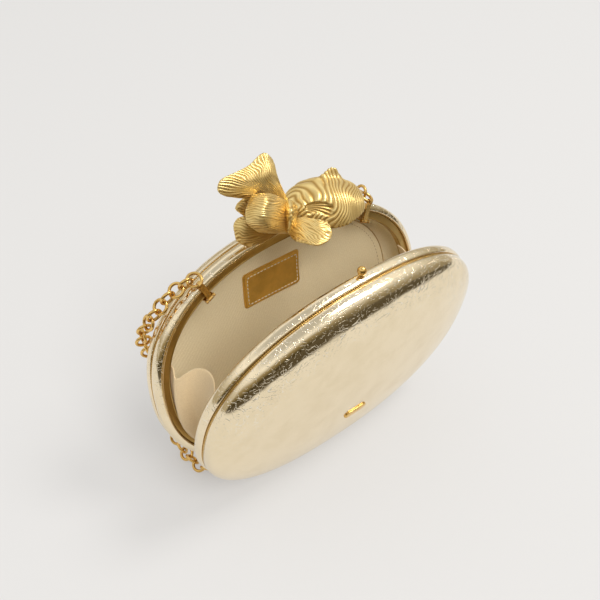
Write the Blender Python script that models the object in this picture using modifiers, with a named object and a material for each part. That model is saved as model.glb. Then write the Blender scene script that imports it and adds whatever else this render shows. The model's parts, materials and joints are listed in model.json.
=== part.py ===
"""Clutch bag: an oval hard-shell minaudiere, open on its bottom hinge, with a cast goldfish clasp and a ring chain.

Units are metres, +Z is up and +X runs along the bag's length. The bag stands on two small flats, and the origin
lies on the floor in the middle of the rear shell's flat. Each shell is modelled in its own frame, whose origin is
on the hinge axis: X along the hinge, Z up the mouth plane and Y from the mouth plane into the shell. The front
shell is the same frame mirrored in Y.
"""
import math

import bmesh
import bpy
from mathutils import Matrix, Vector

# Oval of the rim, a superellipse
OVAL_POWER = 2.31
RIM_HALF_LENGTH = 0.1055
RIM_HALF_HEIGHT = 0.0725
OVAL_SEGMENTS = 36
HINGE_ABOVE_RIM = 0.0012
SHELL_TILT = math.radians(11.7)

# Leather-covered rim band
MOUTH_GAP = 0.00025
BAND_THICKNESS = 0.0046
BAND_DEPTH = 0.0076
BAND_SECTION_SHARES = ((1.0, 0.10), (0.84, 0.0), (0.42, 0.06), (0.13, 0.24), (0.0, 0.50), (0.06, 0.82),
                       (0.26, 1.0), (1.0, 1.0))

# Crowned outer panel
PANEL_INSET = 0.0010
PANEL_EDGE_DEPTH = 0.00945
PANEL_THICKNESS = 0.0020
PANEL_TURN_IN = 0.0022
CROWN_DEPTH = 0.0294
CROWN_POWER = 0.3456
PANEL_RING_SHARES = (1.0, 0.998, 0.988, 0.955, 0.88, 0.76, 0.58, 0.32)
FOOT_CUT = 0.0005

# Piping in the groove between band and panel
PIPING_RADIUS = 0.0005
PIPING_INSET = 0.0019
PIPING_SIDES = 4

# Brass mouth frame, an L section: a flange facing the mouth and a lip turned into the shell
FIT_GAP = 0.0003
FRAME_WIDTH = 0.0045
FLANGE_DEPTH = 0.0018
FLANGE_THICKNESS = 0.0009
LIP_THICKNESS = 0.0010
LIP_DEPTH = 0.0055

# Fabric lining, the stitched back card and the label on it
LINING_THICKNESS = 0.0008
LINING_INSET = 0.0078
LINING_LIP_INSET = 0.0083
LINING_EDGE_DEPTH = 0.0087
LINING_RING_SHARES = (1.0, 0.98, 0.92, 0.80, 0.62, 0.36)
CARD_THICKNESS = 0.0010
CARD_GAP = 0.0005
CARD_RING_SHARES = (0.94, 0.87, 0.75, 0.58, 0.33)
LABEL_LENGTH = 0.0450
LABEL_HEIGHT = 0.0245
LABEL_CORNER = 0.0022
LABEL_BORDER = 0.0008
LABEL_THICKNESS = 0.0007
LABEL_RISE = 0.0285
LABEL_GAP = 0.0004
LABEL_CORNER_STEPS = 3
LABEL_RING_SHARES = (1.0, 0.5)

# Fabric side gussets
GUSSET_INSET = 0.0104
GUSSET_DEPTH = 0.0030
GUSSET_THICKNESS = 0.0007
GUSSET_TOP_ANGLE = math.radians(16)
GUSSET_BOTTOM_ANGLE = math.radians(-62)
GUSSET_ROWS = 7
GUSSET_COLUMNS = 8
GUSSET_FOLD = 0.0110
GUSSET_FOLD_RISE = 0.0040
GUSSET_END_FOLD_SHARE = 0.25

# Bottom hinge
HINGE_LENGTH = 0.0360
HINGE_KNUCKLES = 5
KNUCKLE_RADIUS = 0.0017
KNUCKLE_GAP = 0.0004
LEAF_SIDE_CLEARANCE = 0.0003
HINGE_PIN_RADIUS = 0.00075
HINGE_BORE_RADIUS = 0.00105
LEAF_THICKNESS = 0.0006
LEAF_HEIGHT = 0.0075
LEAF_FOOT = 0.0008
NOTCH_CLEARANCE = 0.0004
ROUND_SIDES = 10

# Chain lugs on the rear frame, each folded out over the rim's leather edge
LUG_TO_HEAD = 0.0115
LUG_BARREL_INSET = 0.0111
LUG_SEAT_GAP = 0.0010
LUG_BARREL_RADIUS = 0.0011
LUG_FORWARD = 0.0004
LUG_BORE_RADIUS = 0.0008
LUG_PIN_RADIUS = 0.0005
LUG_LENGTH = 0.0070
LUG_TAB_WIDTH = 0.0036
LUG_TAB_THICKNESS = 0.0007
LUG_KNUCKLE_GAP = 0.0003
LUG_STEP = 0.0002
LUG_BRACKET_THICKNESS = 0.0006
LUG_BRACKET_DEPTH = 0.0046
LUG_EYE_RISE = 0.0014
LUG_EYE_RADIUS = 0.0018
LUG_EYE_BORE = 0.00135
LUG_EYE_WIDTH = 0.0022
LUG_RELIEF_DEPTH = 0.0011
LUG_RELIEF_WIDTH = 0.0044
LUG_RELIEF_REACH = 0.0070
END_RING_LEAN = math.radians(60)
END_RING_STEPS = 16
END_RING_SIDES = 6

# Chain of round rings that bear on one another. At a joint between two pieces the rings hang slack
RING_WIRE_RADIUS = 0.00095
RING_CENTRE_RADIUS = 0.0041
RING_PITCH = 0.0063
RING_SLACK_PITCH = 0.0054
RING_STEPS = 8
RING_SIDES = 4
RING_LAY = math.radians(45)
RING_WIRE_SCALE = 0.8862
ROUTE_STEPS = 12
# The route's first share places a point along X: 1 is at a lug and 2 at the rim's end. Hung points have a share of
# the crown's depth and of the rim's height there, floor points a share of the rim's half length
LEFT_DROP_SHARES = ((-1.145, 0.121, 1.102), (-1.314, 0.208, 1.133), (-1.470, 0.291, 1.156),
                    (-1.620, 0.367, 1.173), (-1.718, 0.520, 1.139), (-1.749, 0.750, 0.928),
                    (-1.652, 0.955, 0.495), (-1.486, 1.090, 0.055), (-1.388, 1.153, -0.392),
                    (-1.367, 1.245, -0.824), (-1.380, 1.240, -1.062))
FLOOR_RUN_SHARES = ((-1.393, 0.171), (-1.401, 0.076), (-1.351, -0.014), (-1.174, -0.066), (-0.992, -0.028),
                    (-0.954, 0.057), (-0.939, 0.142), (-0.870, 0.218), (-0.702, 0.275), (-0.382, 0.303),
                    (0.0, 0.308), (0.457, 0.318), (0.805, 0.331))
RIGHT_DROP_SHARES = ((1.014, 1.640, -0.861), (1.064, 1.507, -0.560), (1.064, 1.286, -0.069),
                     (1.072, 1.075, 0.424), (1.072, 0.935, 0.780), (1.064, 0.740, 0.987),
                     (1.050, 0.462, 1.083), (1.040, 0.238, 1.092))

# Ball stud on the front rim
BALL_RADIUS = 0.0027
BALL_RISE = 0.0026
BALL_DEPTH = 0.0026
STUD_COLLAR_RADIUS = 0.0019
STUD_COLLAR_THICKNESS = 0.0008
STUD_POST_RADIUS = 0.0010
STUD_POST_LENGTH = 0.0036
STUD_CLEARANCE = 0.0003

# Goldfish clasp. Its places are shares of its own length, along X, into the shell and up from the rim's top
FISH_LENGTH = 0.1000
FISH_WALL = 0.0014
FISH_CLEARANCE = 0.0006
BODY_START = -0.0080
BODY_LENGTH = 0.0620
BODY_HALF_WIDTH = 0.0200
BODY_HEIGHT = 0.0205
BODY_CENTRE_DEPTH = -0.0035
BODY_ARCH_POWER = 0.8
BODY_ARCH_STEPS = 10
BODY_STATION_SHARES = (0.0, 0.07, 0.18, 0.33, 0.50, 0.66, 0.81, 0.93, 1.0)
BODY_WIDTH_SHARES = (0.27, 0.43, 0.66, 0.89, 1.0, 0.97, 0.83, 0.58, 0.20)
BODY_HEIGHT_SHARES = (0.52, 0.70, 0.87, 1.0, 1.0, 0.93, 0.78, 0.58, 0.22)
FIN_ROOT_SHARE = 0.16
FIN_STEPS = 4
FIN_THICKNESS = 0.0015
BALL_PATH_START = math.radians(-3)
BALL_PATH_END = math.radians(24)
BALL_PATH_STEPS = 12
STEM_RINGS = 6

# Clasp base, its rivets and the catch for the ball
BASE_START = -0.0200
BASE_END = 0.0420
BASE_STEPS = 8
BASE_NEAR_DEPTH = 0.0012
BASE_FAR_DEPTH = 0.0068
BASE_THICKNESS = 0.0014
RIVET_PLACES_SHARE = 0.75
RIVET_RADIUS = 0.0011
RIVET_HEAD_RADIUS = 0.0019
RIVET_HEAD_THICKNESS = 0.0008
RIVET_LENGTH = 0.0052
CATCH_WIDTH = 0.0090
CATCH_REACH = 0.0095
CATCH_THICKNESS = 0.0010
CATCH_HOLE_RADIUS = 0.0018
CATCH_CLEARANCE = 0.0006

CUT_OVERRUN = 0.0030


def superellipse(half_length, half_height, angle):
    """Point of the oval at an angle, as (x, z) about its centre."""
    cos, sin = math.cos(angle), math.sin(angle)
    power = 2 / OVAL_POWER
    return (half_length * math.copysign(abs(cos) ** power, cos),
            half_height * math.copysign(abs(sin) ** power, sin))


def oval_height(half_length, half_height, x):
    """Height of the oval above its centre at x, zero past its ends."""
    share = min(abs(x) / half_length, 1.0)
    return half_height * (1.0 - share ** OVAL_POWER) ** (1 / OVAL_POWER)


def oval_ring(half_length, half_height, depth):
    """Ring of points on an oval at one depth, in a shell's own frame."""
    ring = []
    for step in range(OVAL_SEGMENTS):
        x, z = superellipse(half_length, half_height, 2 * math.pi * step / OVAL_SEGMENTS)
        ring.append(Vector((x, depth, HINGE_TO_CENTRE + z)))
    return ring


def rim_ring(inset, depth):
    """Ring inset from the rim's widest outline."""
    return oval_ring(RIM_HALF_LENGTH - inset, RIM_HALF_HEIGHT - inset, depth)


def crown_depth(share, edge_depth, top_depth):
    """Depth of a crowned shell at a share of its outline."""
    return edge_depth + (top_depth - edge_depth) * max(0.0, 1.0 - share * share) ** CROWN_POWER


def crown_half_sizes(inset):
    return RIM_HALF_LENGTH - inset, RIM_HALF_HEIGHT - inset


def crown_depth_at(x, z, inset, edge_depth, top_depth):
    """Depth of a crowned shell over the point (x, z) about the oval's centre."""
    length, height = crown_half_sizes(inset)
    share = ((abs(x) / length) ** OVAL_POWER + (abs(z) / height) ** OVAL_POWER) ** (1 / OVAL_POWER)
    return crown_depth(min(share, 1.0), edge_depth, top_depth)


def lowest_point():
    """Depth and drop, in the rear shell's frame, of the panel's lowest place on its middle section."""
    best = None
    for share in PANEL_RING_SHARES:
        radius = (RIM_HALF_HEIGHT - PANEL_INSET) * share
        depth = crown_depth(share, PANEL_EDGE_DEPTH, CROWN_DEPTH)
        rise = HINGE_TO_CENTRE - radius
        height = rise * math.cos(SHELL_TILT) - depth * math.sin(SHELL_TILT)
        reach = rise * math.sin(SHELL_TILT) + depth * math.cos(SHELL_TILT)
        if best is None or height < best[0]:
            best = (height, reach)
    return best


HINGE_TO_CENTRE = RIM_HALF_HEIGHT - HINGE_ABOVE_RIM
LUG_X = BODY_START + BODY_LENGTH + LUG_TO_HEAD
LOWEST_HEIGHT, FOOT_REACH = lowest_point()
HINGE_HEIGHT = -LOWEST_HEIGHT - FOOT_CUT
HINGE_AXIS = Vector((0.0, -FOOT_REACH, HINGE_HEIGHT))
REAR = 1
FRONT = -1
RIM_TOP = HINGE_TO_CENTRE + RIM_HALF_HEIGHT
FRAME_INSET = BAND_THICKNESS + FIT_GAP
FRAME_INNER = FRAME_INSET + FRAME_WIDTH


def shell_matrix(side):
    """World placement of a shell's frame: tilted away from the mouth about the hinge axis."""
    return Matrix.Translation(HINGE_AXIS) @ Matrix.Rotation(-side * SHELL_TILT, 4, "X")


def clear_scene():
    for item in list(bpy.data.objects):
        bpy.data.objects.remove(item, do_unlink=True)


def make_collection(name):
    collection = bpy.data.collections.new(name)
    bpy.context.scene.collection.children.link(collection)
    return collection


def make_finish(name, color, metallic, roughness):
    """A plain Principled material."""
    material = bpy.data.materials.new(name)
    material.use_nodes = True
    shader = material.node_tree.nodes["Principled BSDF"]
    shader.inputs["Base Color"].default_value = (*color, 1.0)
    shader.inputs["Metallic"].default_value = metallic
    shader.inputs["Roughness"].default_value = roughness
    material.diffuse_color = (*color, 1.0)
    return material


class Workshop:
    """Holds the collections, finishes and shell frames that every piece is made with."""

    def __init__(self):
        clear_scene()
        self.parts = make_collection("clutch_bag")
        self.cutters = make_collection("cutters")
        self.finishes = {
            "foil_leather": make_finish("foil_leather", (0.80, 0.70, 0.50), 0.85, 0.28),
            "brass": make_finish("brass", (0.62, 0.42, 0.12), 1.0, 0.30),
            "gold": make_finish("gold", (0.80, 0.56, 0.18), 1.0, 0.26),
            "lining": make_finish("lining", (0.72, 0.60, 0.42), 0.0, 0.85),
            "gusset": make_finish("gusset", (0.82, 0.74, 0.60), 0.0, 0.80),
            "label_leather": make_finish("label_leather", (0.40, 0.24, 0.05), 0.60, 0.38),
        }
        self.frames = {}
        for side, name in ((REAR, "rear_shell_frame"), (FRONT, "front_shell_frame")):
            frame = bpy.data.objects.new(name, None)
            self.parts.objects.link(frame)
            frame.matrix_world = shell_matrix(side)
            self.frames[side] = frame

    def add(self, name, mesh_builder, finish, side=None, smooth=True):
        """Turn a bmesh into a named part. A front piece is mirrored through the mouth plane."""
        if side == FRONT:
            bmesh.ops.scale(mesh_builder, vec=(1.0, -1.0, 1.0), verts=mesh_builder.verts)
        bmesh.ops.recalc_face_normals(mesh_builder, faces=mesh_builder.faces)
        mesh = bpy.data.meshes.new(name)
        mesh_builder.to_mesh(mesh)
        mesh_builder.free()
        item = bpy.data.objects.new(name, mesh)
        mesh.materials.append(self.finishes[finish])
        self.parts.objects.link(item)
        if side is not None:
            item.parent = self.frames[side]
        if smooth:
            mesh.shade_smooth()
            mesh.set_sharp_from_angle(angle=math.radians(35))
        return item

    def add_cutter(self, name, mesh_builder, side=None, parent=None):
        """Turn a bmesh into a hidden tool for a Boolean."""
        if side == FRONT:
            bmesh.ops.scale(mesh_builder, vec=(1.0, -1.0, 1.0), verts=mesh_builder.verts)
        bmesh.ops.recalc_face_normals(mesh_builder, faces=mesh_builder.faces)
        mesh = bpy.data.meshes.new(name)
        mesh_builder.to_mesh(mesh)
        mesh_builder.free()
        item = bpy.data.objects.new(name, mesh)
        self.cutters.objects.link(item)
        item.parent = parent or (self.frames[side] if side is not None else None)
        item.hide_render = True
        item.display_type = "WIRE"
        return item


def boolean(item, tool, operation="DIFFERENCE", folded=False):
    """Cut or join two pieces. Folded is for a sheet whose wall may run into itself where it is gathered."""
    modifier = item.modifiers.new(operation.lower(), "BOOLEAN")
    modifier.object = tool
    modifier.operation = operation
    modifier.solver = "EXACT"
    modifier.use_self = folded


def thicken(item, thickness, offset=-1.0, even=True):
    """Give an open surface its wall. Offset -1 grows it against the normals, 0 both ways."""
    modifier = item.modifiers.new("wall", "SOLIDIFY")
    modifier.thickness = thickness
    modifier.offset = offset
    modifier.use_even_offset = even
    return modifier


def loft(rings, closed_rings=True, closed_loft=False, pole=None):
    """Skin a row of equal rings. With closed_loft the last ring joins the first; a pole closes the last ring."""
    builder = bmesh.new()
    rows = [[builder.verts.new(point) for point in ring] for ring in rings]
    count = len(rings[0])
    spans = count if closed_rings else count - 1
    pairs = list(zip(rows, rows[1:]))
    if closed_loft:
        pairs.append((rows[-1], rows[0]))
    for first, second in pairs:
        for index in range(spans):
            after = (index + 1) % count
            builder.faces.new((first[index], first[after], second[after], second[index]))
    if pole is not None:
        top = builder.verts.new(pole)
        for index in range(spans):
            after = (index + 1) % count
            builder.faces.new((rows[-1][index], rows[-1][after], top))
    return builder


def cap_ends(builder, count):
    """Close the first and the last ring of a loft with flat faces."""
    builder.verts.ensure_lookup_table()
    verts = list(builder.verts)
    builder.faces.new(verts[:count])
    builder.faces.new(verts[-count:])
    return builder


def add_box(builder, low, high):
    """Add a box between two corners to a bmesh."""
    low, high = Vector(low), Vector(high)
    size = high - low
    matrix = Matrix.Translation((low + high) / 2) @ Matrix.Diagonal((*size, 1.0))
    bmesh.ops.create_cube(builder, size=1.0, matrix=matrix)
    return builder


def add_rod(builder, start, end, radius, sides=ROUND_SIDES):
    """Add a capped cylinder between two points to a bmesh."""
    start, end = Vector(start), Vector(end)
    direction = end - start
    matrix = Matrix.Translation((start + end) / 2) @ direction.to_track_quat("Z", "Y").to_matrix().to_4x4()
    bmesh.ops.create_cone(builder, cap_ends=True, segments=sides, radius1=radius, radius2=radius,
                          depth=direction.length, matrix=matrix)
    return builder


def box_builder(low, high):
    return add_box(bmesh.new(), low, high)


def rod_builder(start, end, radius, sides=ROUND_SIDES):
    return add_rod(bmesh.new(), start, end, radius, sides)


def band_rings():
    rings = []
    for inset_share, depth_share in BAND_SECTION_SHARES:
        rings.append(rim_ring(inset_share * BAND_THICKNESS, MOUTH_GAP + depth_share * BAND_DEPTH))
    return rings


def panel_rings():
    half_length, half_height = crown_half_sizes(PANEL_INSET)
    rings = [oval_ring(half_length - PANEL_TURN_IN, half_height - PANEL_TURN_IN, PANEL_EDGE_DEPTH)]
    for share in PANEL_RING_SHARES:
        rings.append(oval_ring(half_length * share, half_height * share,
                               crown_depth(share, PANEL_EDGE_DEPTH, CROWN_DEPTH)))
    return rings


LINING_TOP = CROWN_DEPTH - PANEL_THICKNESS - FIT_GAP
CARD_INSET = LINING_INSET + LINING_THICKNESS + CARD_GAP
CARD_TOP = LINING_TOP - LINING_THICKNESS - CARD_GAP


def lining_rings():
    half_length, half_height = crown_half_sizes(LINING_INSET)
    rings = [rim_ring(LINING_LIP_INSET, LIP_DEPTH + FIT_GAP)]
    for share in LINING_RING_SHARES:
        rings.append(oval_ring(half_length * share, half_height * share,
                               crown_depth(share, LINING_EDGE_DEPTH, LINING_TOP)))
    return rings


def card_rings():
    half_length, half_height = crown_half_sizes(CARD_INSET)
    rings = []
    for share in CARD_RING_SHARES:
        rings.append(oval_ring(half_length * share, half_height * share,
                               crown_depth(share, LINING_EDGE_DEPTH, CARD_TOP)))
    return rings


def frame_rings():
    far = FLANGE_DEPTH + FLANGE_THICKNESS
    section = ((FRAME_INSET, FLANGE_DEPTH), (FRAME_INNER, FLANGE_DEPTH), (FRAME_INNER, LIP_DEPTH),
               (FRAME_INNER - LIP_THICKNESS, LIP_DEPTH), (FRAME_INNER - LIP_THICKNESS, far), (FRAME_INSET, far))
    return [rim_ring(inset, depth) for inset, depth in section]


def piping_rings():
    groove_near = MOUTH_GAP + BAND_DEPTH
    middle = (groove_near + PANEL_EDGE_DEPTH) / 2
    rings = []
    for step in range(PIPING_SIDES):
        angle = 2 * math.pi * step / PIPING_SIDES
        rings.append(rim_ring(PIPING_INSET + PIPING_RADIUS * math.cos(angle),
                              middle + PIPING_RADIUS * math.sin(angle)))
    return rings


def lug_matrix(sign):
    """Frame of a lug on the rim's outline: X along the rim, Y into the shell, Z outward."""
    height = oval_height(RIM_HALF_LENGTH, RIM_HALF_HEIGHT, LUG_X)
    rise_x = (LUG_X / RIM_HALF_LENGTH) ** (OVAL_POWER - 1) / RIM_HALF_LENGTH
    rise_z = (height / RIM_HALF_HEIGHT) ** (OVAL_POWER - 1) / RIM_HALF_HEIGHT
    outward = Vector((sign * rise_x, 0.0, rise_z)).normalized()
    into = Vector((0.0, 1.0, 0.0))
    along = into.cross(outward)
    matrix = Matrix((along, into, outward)).transposed().to_4x4()
    matrix.translation = (sign * LUG_X, 0.0, HINGE_TO_CENTRE + height)
    return matrix


def hinge_notch(clearance):
    """Room for the hinge in a rim band's mouth edge."""
    half = HINGE_LENGTH / 2 + clearance
    radius = KNUCKLE_RADIUS + clearance
    return box_builder((-half, -radius, -radius - CUT_OVERRUN), (half, radius, FRAME_INSET + LEAF_FOOT))


def make_floor_cutter(shop):
    span = RIM_HALF_LENGTH
    return shop.add_cutter("floor_cutter", box_builder((-span, -span, -CUT_OVERRUN * 2), (span, span, 0.0)))


def make_shell(shop, side, prefix, floor_cutter):
    """The rigid pieces that both shells share: band, panel, piping, frame and lining."""
    band = shop.add(prefix + "_rim_band", loft(band_rings(), closed_loft=True), "foil_leather", side)
    notch = shop.add_cutter(prefix + "_hinge_notch", hinge_notch(NOTCH_CLEARANCE), side)
    boolean(band, notch)
    boolean(band, floor_cutter)

    pole = Vector((0.0, CROWN_DEPTH, HINGE_TO_CENTRE))
    panel = shop.add(prefix + "_panel", loft(panel_rings(), pole=pole), "foil_leather", side)
    thicken(panel, PANEL_THICKNESS)
    boolean(panel, floor_cutter)

    shop.add(prefix + "_piping", loft(piping_rings(), closed_loft=True), "gold", side)
    shop.add(prefix + "_mouth_frame", loft(frame_rings(), closed_loft=True), "brass", side)

    pole = Vector((0.0, LINING_TOP, HINGE_TO_CENTRE))
    lining = shop.add(prefix + "_lining", loft(lining_rings(), pole=pole), "lining", side)
    thicken(lining, LINING_THICKNESS)
    return band


def make_back_card(shop):
    pole = Vector((0.0, CARD_TOP, HINGE_TO_CENTRE))
    card = shop.add("back_lining_card", loft(card_rings(), pole=pole), "lining", REAR)
    thicken(card, CARD_THICKNESS)


def label_ring(half_length, half_height, corner, share, lift):
    """Rounded rectangle laid on the card, shrunk to a share and lifted off the card."""
    ring = []
    for quarter, (sx, sz) in enumerate(((1, 1), (-1, 1), (-1, -1), (1, -1))):
        for step in range(LABEL_CORNER_STEPS + 1):
            angle = math.pi / 2 * (quarter + step / LABEL_CORNER_STEPS)
            x = share * (sx * (half_length - corner) + corner * math.cos(angle))
            z = share * (sz * (half_height - corner) + corner * math.sin(angle)) + LABEL_RISE
            depth = crown_depth_at(x, z, CARD_INSET, LINING_EDGE_DEPTH, CARD_TOP) - CARD_THICKNESS - lift
            ring.append(Vector((x, depth, HINGE_TO_CENTRE + z)))
    return ring


def make_label(shop):
    """Two leather layers, each a plate that follows the card's crown."""
    for name, border, lift in (("label_backing", 0.0, LABEL_GAP),
                               ("label_face", LABEL_BORDER, 2 * LABEL_GAP + LABEL_THICKNESS)):
        half_length = LABEL_LENGTH / 2 - border
        half_height = LABEL_HEIGHT / 2 - border
        rings = [label_ring(half_length, half_height, LABEL_CORNER, share, lift) for share in LABEL_RING_SHARES]
        depth = crown_depth_at(0.0, LABEL_RISE, CARD_INSET, LINING_EDGE_DEPTH, CARD_TOP)
        pole = Vector((0.0, depth - CARD_THICKNESS - lift, HINGE_TO_CENTRE + LABEL_RISE))
        plate = shop.add(name, loft(rings, pole=pole), "label_leather", REAR)
        thicken(plate, LABEL_THICKNESS)


def gusset_edge(sign, side, angle):
    """World point where a gusset meets a shell's frame."""
    x, z = superellipse(RIM_HALF_LENGTH - GUSSET_INSET, RIM_HALF_HEIGHT - GUSSET_INSET, angle)
    return shell_matrix(side) @ Vector((sign * x, side * GUSSET_DEPTH, HINGE_TO_CENTRE + z))


def make_gusset(shop, sign, name):
    """A cloth panel between the two shells, folded inward once along its middle."""
    rows = []
    for row in range(GUSSET_ROWS):
        share = row / (GUSSET_ROWS - 1)
        angle = GUSSET_TOP_ANGLE + share * (GUSSET_BOTTOM_ANGLE - GUSSET_TOP_ANGLE)
        rear, front = gusset_edge(sign, REAR, angle), gusset_edge(sign, FRONT, angle)
        fold = GUSSET_FOLD * (1.0 + share * (GUSSET_END_FOLD_SHARE - 1.0))
        line = []
        for column in range(GUSSET_COLUMNS + 1):
            across = column / GUSSET_COLUMNS
            bend = math.sin(math.pi * across) ** 2
            point = rear.lerp(front, across)
            point.x -= sign * fold * bend
            point.z += GUSSET_FOLD_RISE * (1.0 - share) * bend
            line.append(point)
        rows.append(line)
    sheet = shop.add(name, loft(rows, closed_rings=False), "gusset")
    thicken(sheet, GUSSET_THICKNESS, offset=0.0)


def knuckle_spans():
    """Start and end along the hinge of each knuckle, from left to right."""
    pitch = HINGE_LENGTH / HINGE_KNUCKLES
    spans = []
    for index in range(HINGE_KNUCKLES):
        start = -HINGE_LENGTH / 2 + index * pitch
        spans.append((start + KNUCKLE_GAP / 2, start + pitch - KNUCKLE_GAP / 2))
    return spans


def make_hinge_leaf(shop, side, name, own):
    """A leaf on the frame's flange, with knuckles round the pin where own says so."""
    half = HINGE_LENGTH / 2 - KNUCKLE_GAP
    near = FIT_GAP
    clear = KNUCKLE_RADIUS + FIT_GAP
    leaf = shop.add(name, box_builder((-half, near, LEAF_FOOT), (half, near + LEAF_THICKNESS, LEAF_HEIGHT)),
                    "brass", side)
    knuckles, clearances = bmesh.new(), bmesh.new()
    for index, (start, end) in enumerate(knuckle_spans()):
        if index % 2 == own:
            add_rod(knuckles, (start, 0.0, 0.0), (end, 0.0, 0.0), KNUCKLE_RADIUS)
        else:
            add_box(clearances, (start - LEAF_SIDE_CLEARANCE, -clear, -clear),
                    (end + LEAF_SIDE_CLEARANCE, clear, clear))
    bore = rod_builder((-HINGE_LENGTH, 0.0, 0.0), (HINGE_LENGTH, 0.0, 0.0), HINGE_BORE_RADIUS)
    boolean(leaf, shop.add_cutter(name + "_clearance", clearances, side))
    boolean(leaf, shop.add_cutter(name + "_knuckles", knuckles, side), "UNION")
    boolean(leaf, shop.add_cutter(name + "_bore", bore, side))


def make_hinge(shop):
    make_hinge_leaf(shop, REAR, "rear_hinge_leaf", 0)
    make_hinge_leaf(shop, FRONT, "front_hinge_leaf", 1)
    half = HINGE_LENGTH / 2
    shop.add("hinge_pin", rod_builder((-half, 0.0, 0.0), (half, 0.0, 0.0), HINGE_PIN_RADIUS), "brass", REAR)


def make_lug(shop, sign, prefix):
    """A small hinged lug: a bracket on the frame's lip, a pin, and a tab folded out to an eye for the chain."""
    place = lug_matrix(sign)
    half = LUG_LENGTH / 2
    tab_half = LUG_TAB_WIDTH / 2
    barrel_half = tab_half - LUG_STEP
    knuckle_start = tab_half + LUG_KNUCKLE_GAP
    barrel_y, barrel_z = -LUG_FORWARD, -LUG_BARREL_INSET
    wall_middle = (LUG_BARREL_RADIUS + LUG_BORE_RADIUS) / 2
    eye_wall_middle = (LUG_EYE_RADIUS + LUG_EYE_BORE) / 2
    reach = LUG_BARREL_RADIUS + LUG_KNUCKLE_GAP
    seat = -FRAME_INNER - LUG_SEAT_GAP

    bracket = box_builder((LUG_STEP - half, barrel_y, seat - LUG_BRACKET_THICKNESS),
                          (half - LUG_STEP, LUG_BRACKET_DEPTH, seat))
    tab = box_builder((-tab_half, barrel_y - LUG_TAB_THICKNESS / 2, barrel_z + wall_middle),
                      (tab_half, barrel_y + LUG_TAB_THICKNESS / 2, LUG_EYE_RISE - eye_wall_middle))
    pin = rod_builder((-half, barrel_y, barrel_z), (half, barrel_y, barrel_z), LUG_PIN_RADIUS)
    bracket = shop.add(prefix + "_lug_bracket", bracket, "gold", REAR)
    tab = shop.add(prefix + "_lug_tab", tab, "gold", REAR)
    pin = shop.add(prefix + "_lug_pin", pin, "gold", REAR)

    def rod(name, start, end, z, radius):
        builder = rod_builder((start, barrel_y, z), (end, barrel_y, z), radius)
        tool = shop.add_cutter(prefix + "_lug_" + name, builder, REAR)
        tool.matrix_local = place
        return tool

    gap = shop.add_cutter(prefix + "_lug_gap",
                          box_builder((-knuckle_start, barrel_y - reach, barrel_z - reach),
                                      (knuckle_start, barrel_y + reach, barrel_z + reach)), REAR)
    gap.matrix_local = place
    bore = rod("bore", -LUG_LENGTH, LUG_LENGTH, barrel_z, LUG_BORE_RADIUS)
    boolean(bracket, gap)
    boolean(bracket, rod("left_knuckle", -half, -knuckle_start - LUG_STEP, barrel_z, LUG_BARREL_RADIUS), "UNION")
    boolean(bracket, rod("right_knuckle", knuckle_start + LUG_STEP, half, barrel_z, LUG_BARREL_RADIUS), "UNION")
    boolean(bracket, bore)
    boolean(tab, rod("barrel", -barrel_half, barrel_half, barrel_z, LUG_BARREL_RADIUS), "UNION")
    boolean(tab, rod("eye", -LUG_EYE_WIDTH / 2, LUG_EYE_WIDTH / 2, LUG_EYE_RISE, LUG_EYE_RADIUS), "UNION")
    boolean(tab, bore)
    boolean(tab, rod("eye_bore", -LUG_LENGTH, LUG_LENGTH, LUG_EYE_RISE, LUG_EYE_BORE))
    for item in (bracket, tab, pin):
        item.matrix_local = place


def cut_lug_relief(shop, band, sign, name):
    """A shallow relief in the front rim's mouth edge that takes the lug's tab when the bag is shut."""
    half = LUG_RELIEF_WIDTH / 2
    cutter = shop.add_cutter(name, box_builder((-half, -CUT_OVERRUN, -LUG_RELIEF_REACH),
                                               (half, LUG_RELIEF_DEPTH, CUT_OVERRUN)))
    cutter.parent = shop.frames[FRONT]
    cutter.matrix_local = Matrix.Diagonal((1.0, -1.0, 1.0, 1.0)) @ lug_matrix(sign)
    boolean(band, cutter)


def end_ring_matrix(sign):
    """An end ring, hung in its lug's eye and leaning back over the rim. Its X axis points away from the eye."""
    place = shell_matrix(REAR) @ lug_matrix(sign)
    lean = Vector((0.0, math.sin(END_RING_LEAN), math.cos(END_RING_LEAN)))
    along = Vector((1.0, 0.0, 0.0))
    reach = RING_CENTRE_RADIUS * math.cos(math.pi / END_RING_STEPS)
    turned = Matrix((lean, along, lean.cross(along))).transposed().to_4x4()
    turned.translation = Vector((0.0, -LUG_FORWARD, LUG_EYE_RISE)) + lean * reach
    return place @ turned


def route_x(share):
    """Place along X, where a share of 1 is at a lug and 2 is at the rim's end."""
    reach = LUG_X * min(abs(share), 1.0) + (RIM_HALF_LENGTH - LUG_X) * max(abs(share) - 1.0, 0.0)
    return math.copysign(reach, share)


def route_points():
    """The chain's route in world places: over the left shoulder, along the floor and up behind the right one."""
    rest = RING_CENTRE_RADIUS * math.sin(RING_LAY) + RING_WIRE_RADIUS * math.sqrt(2) * RING_WIRE_SCALE
    place = shell_matrix(REAR)

    def hung(shares):
        x, depth, rise = route_x(shares[0]), shares[1] * CROWN_DEPTH, shares[2]
        return place @ Vector((x, depth, HINGE_TO_CENTRE + rise * oval_height(RIM_HALF_LENGTH, RIM_HALF_HEIGHT, x)))

    points = [end_ring_matrix(-1).translation]
    points += [hung(shares) for shares in LEFT_DROP_SHARES]
    points += [Vector((route_x(x), y * RIM_HALF_LENGTH, rest)) for x, y in FLOOR_RUN_SHARES]
    points += [hung(shares) for shares in RIGHT_DROP_SHARES]
    points.append(end_ring_matrix(1).translation)
    return points, rest


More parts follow.
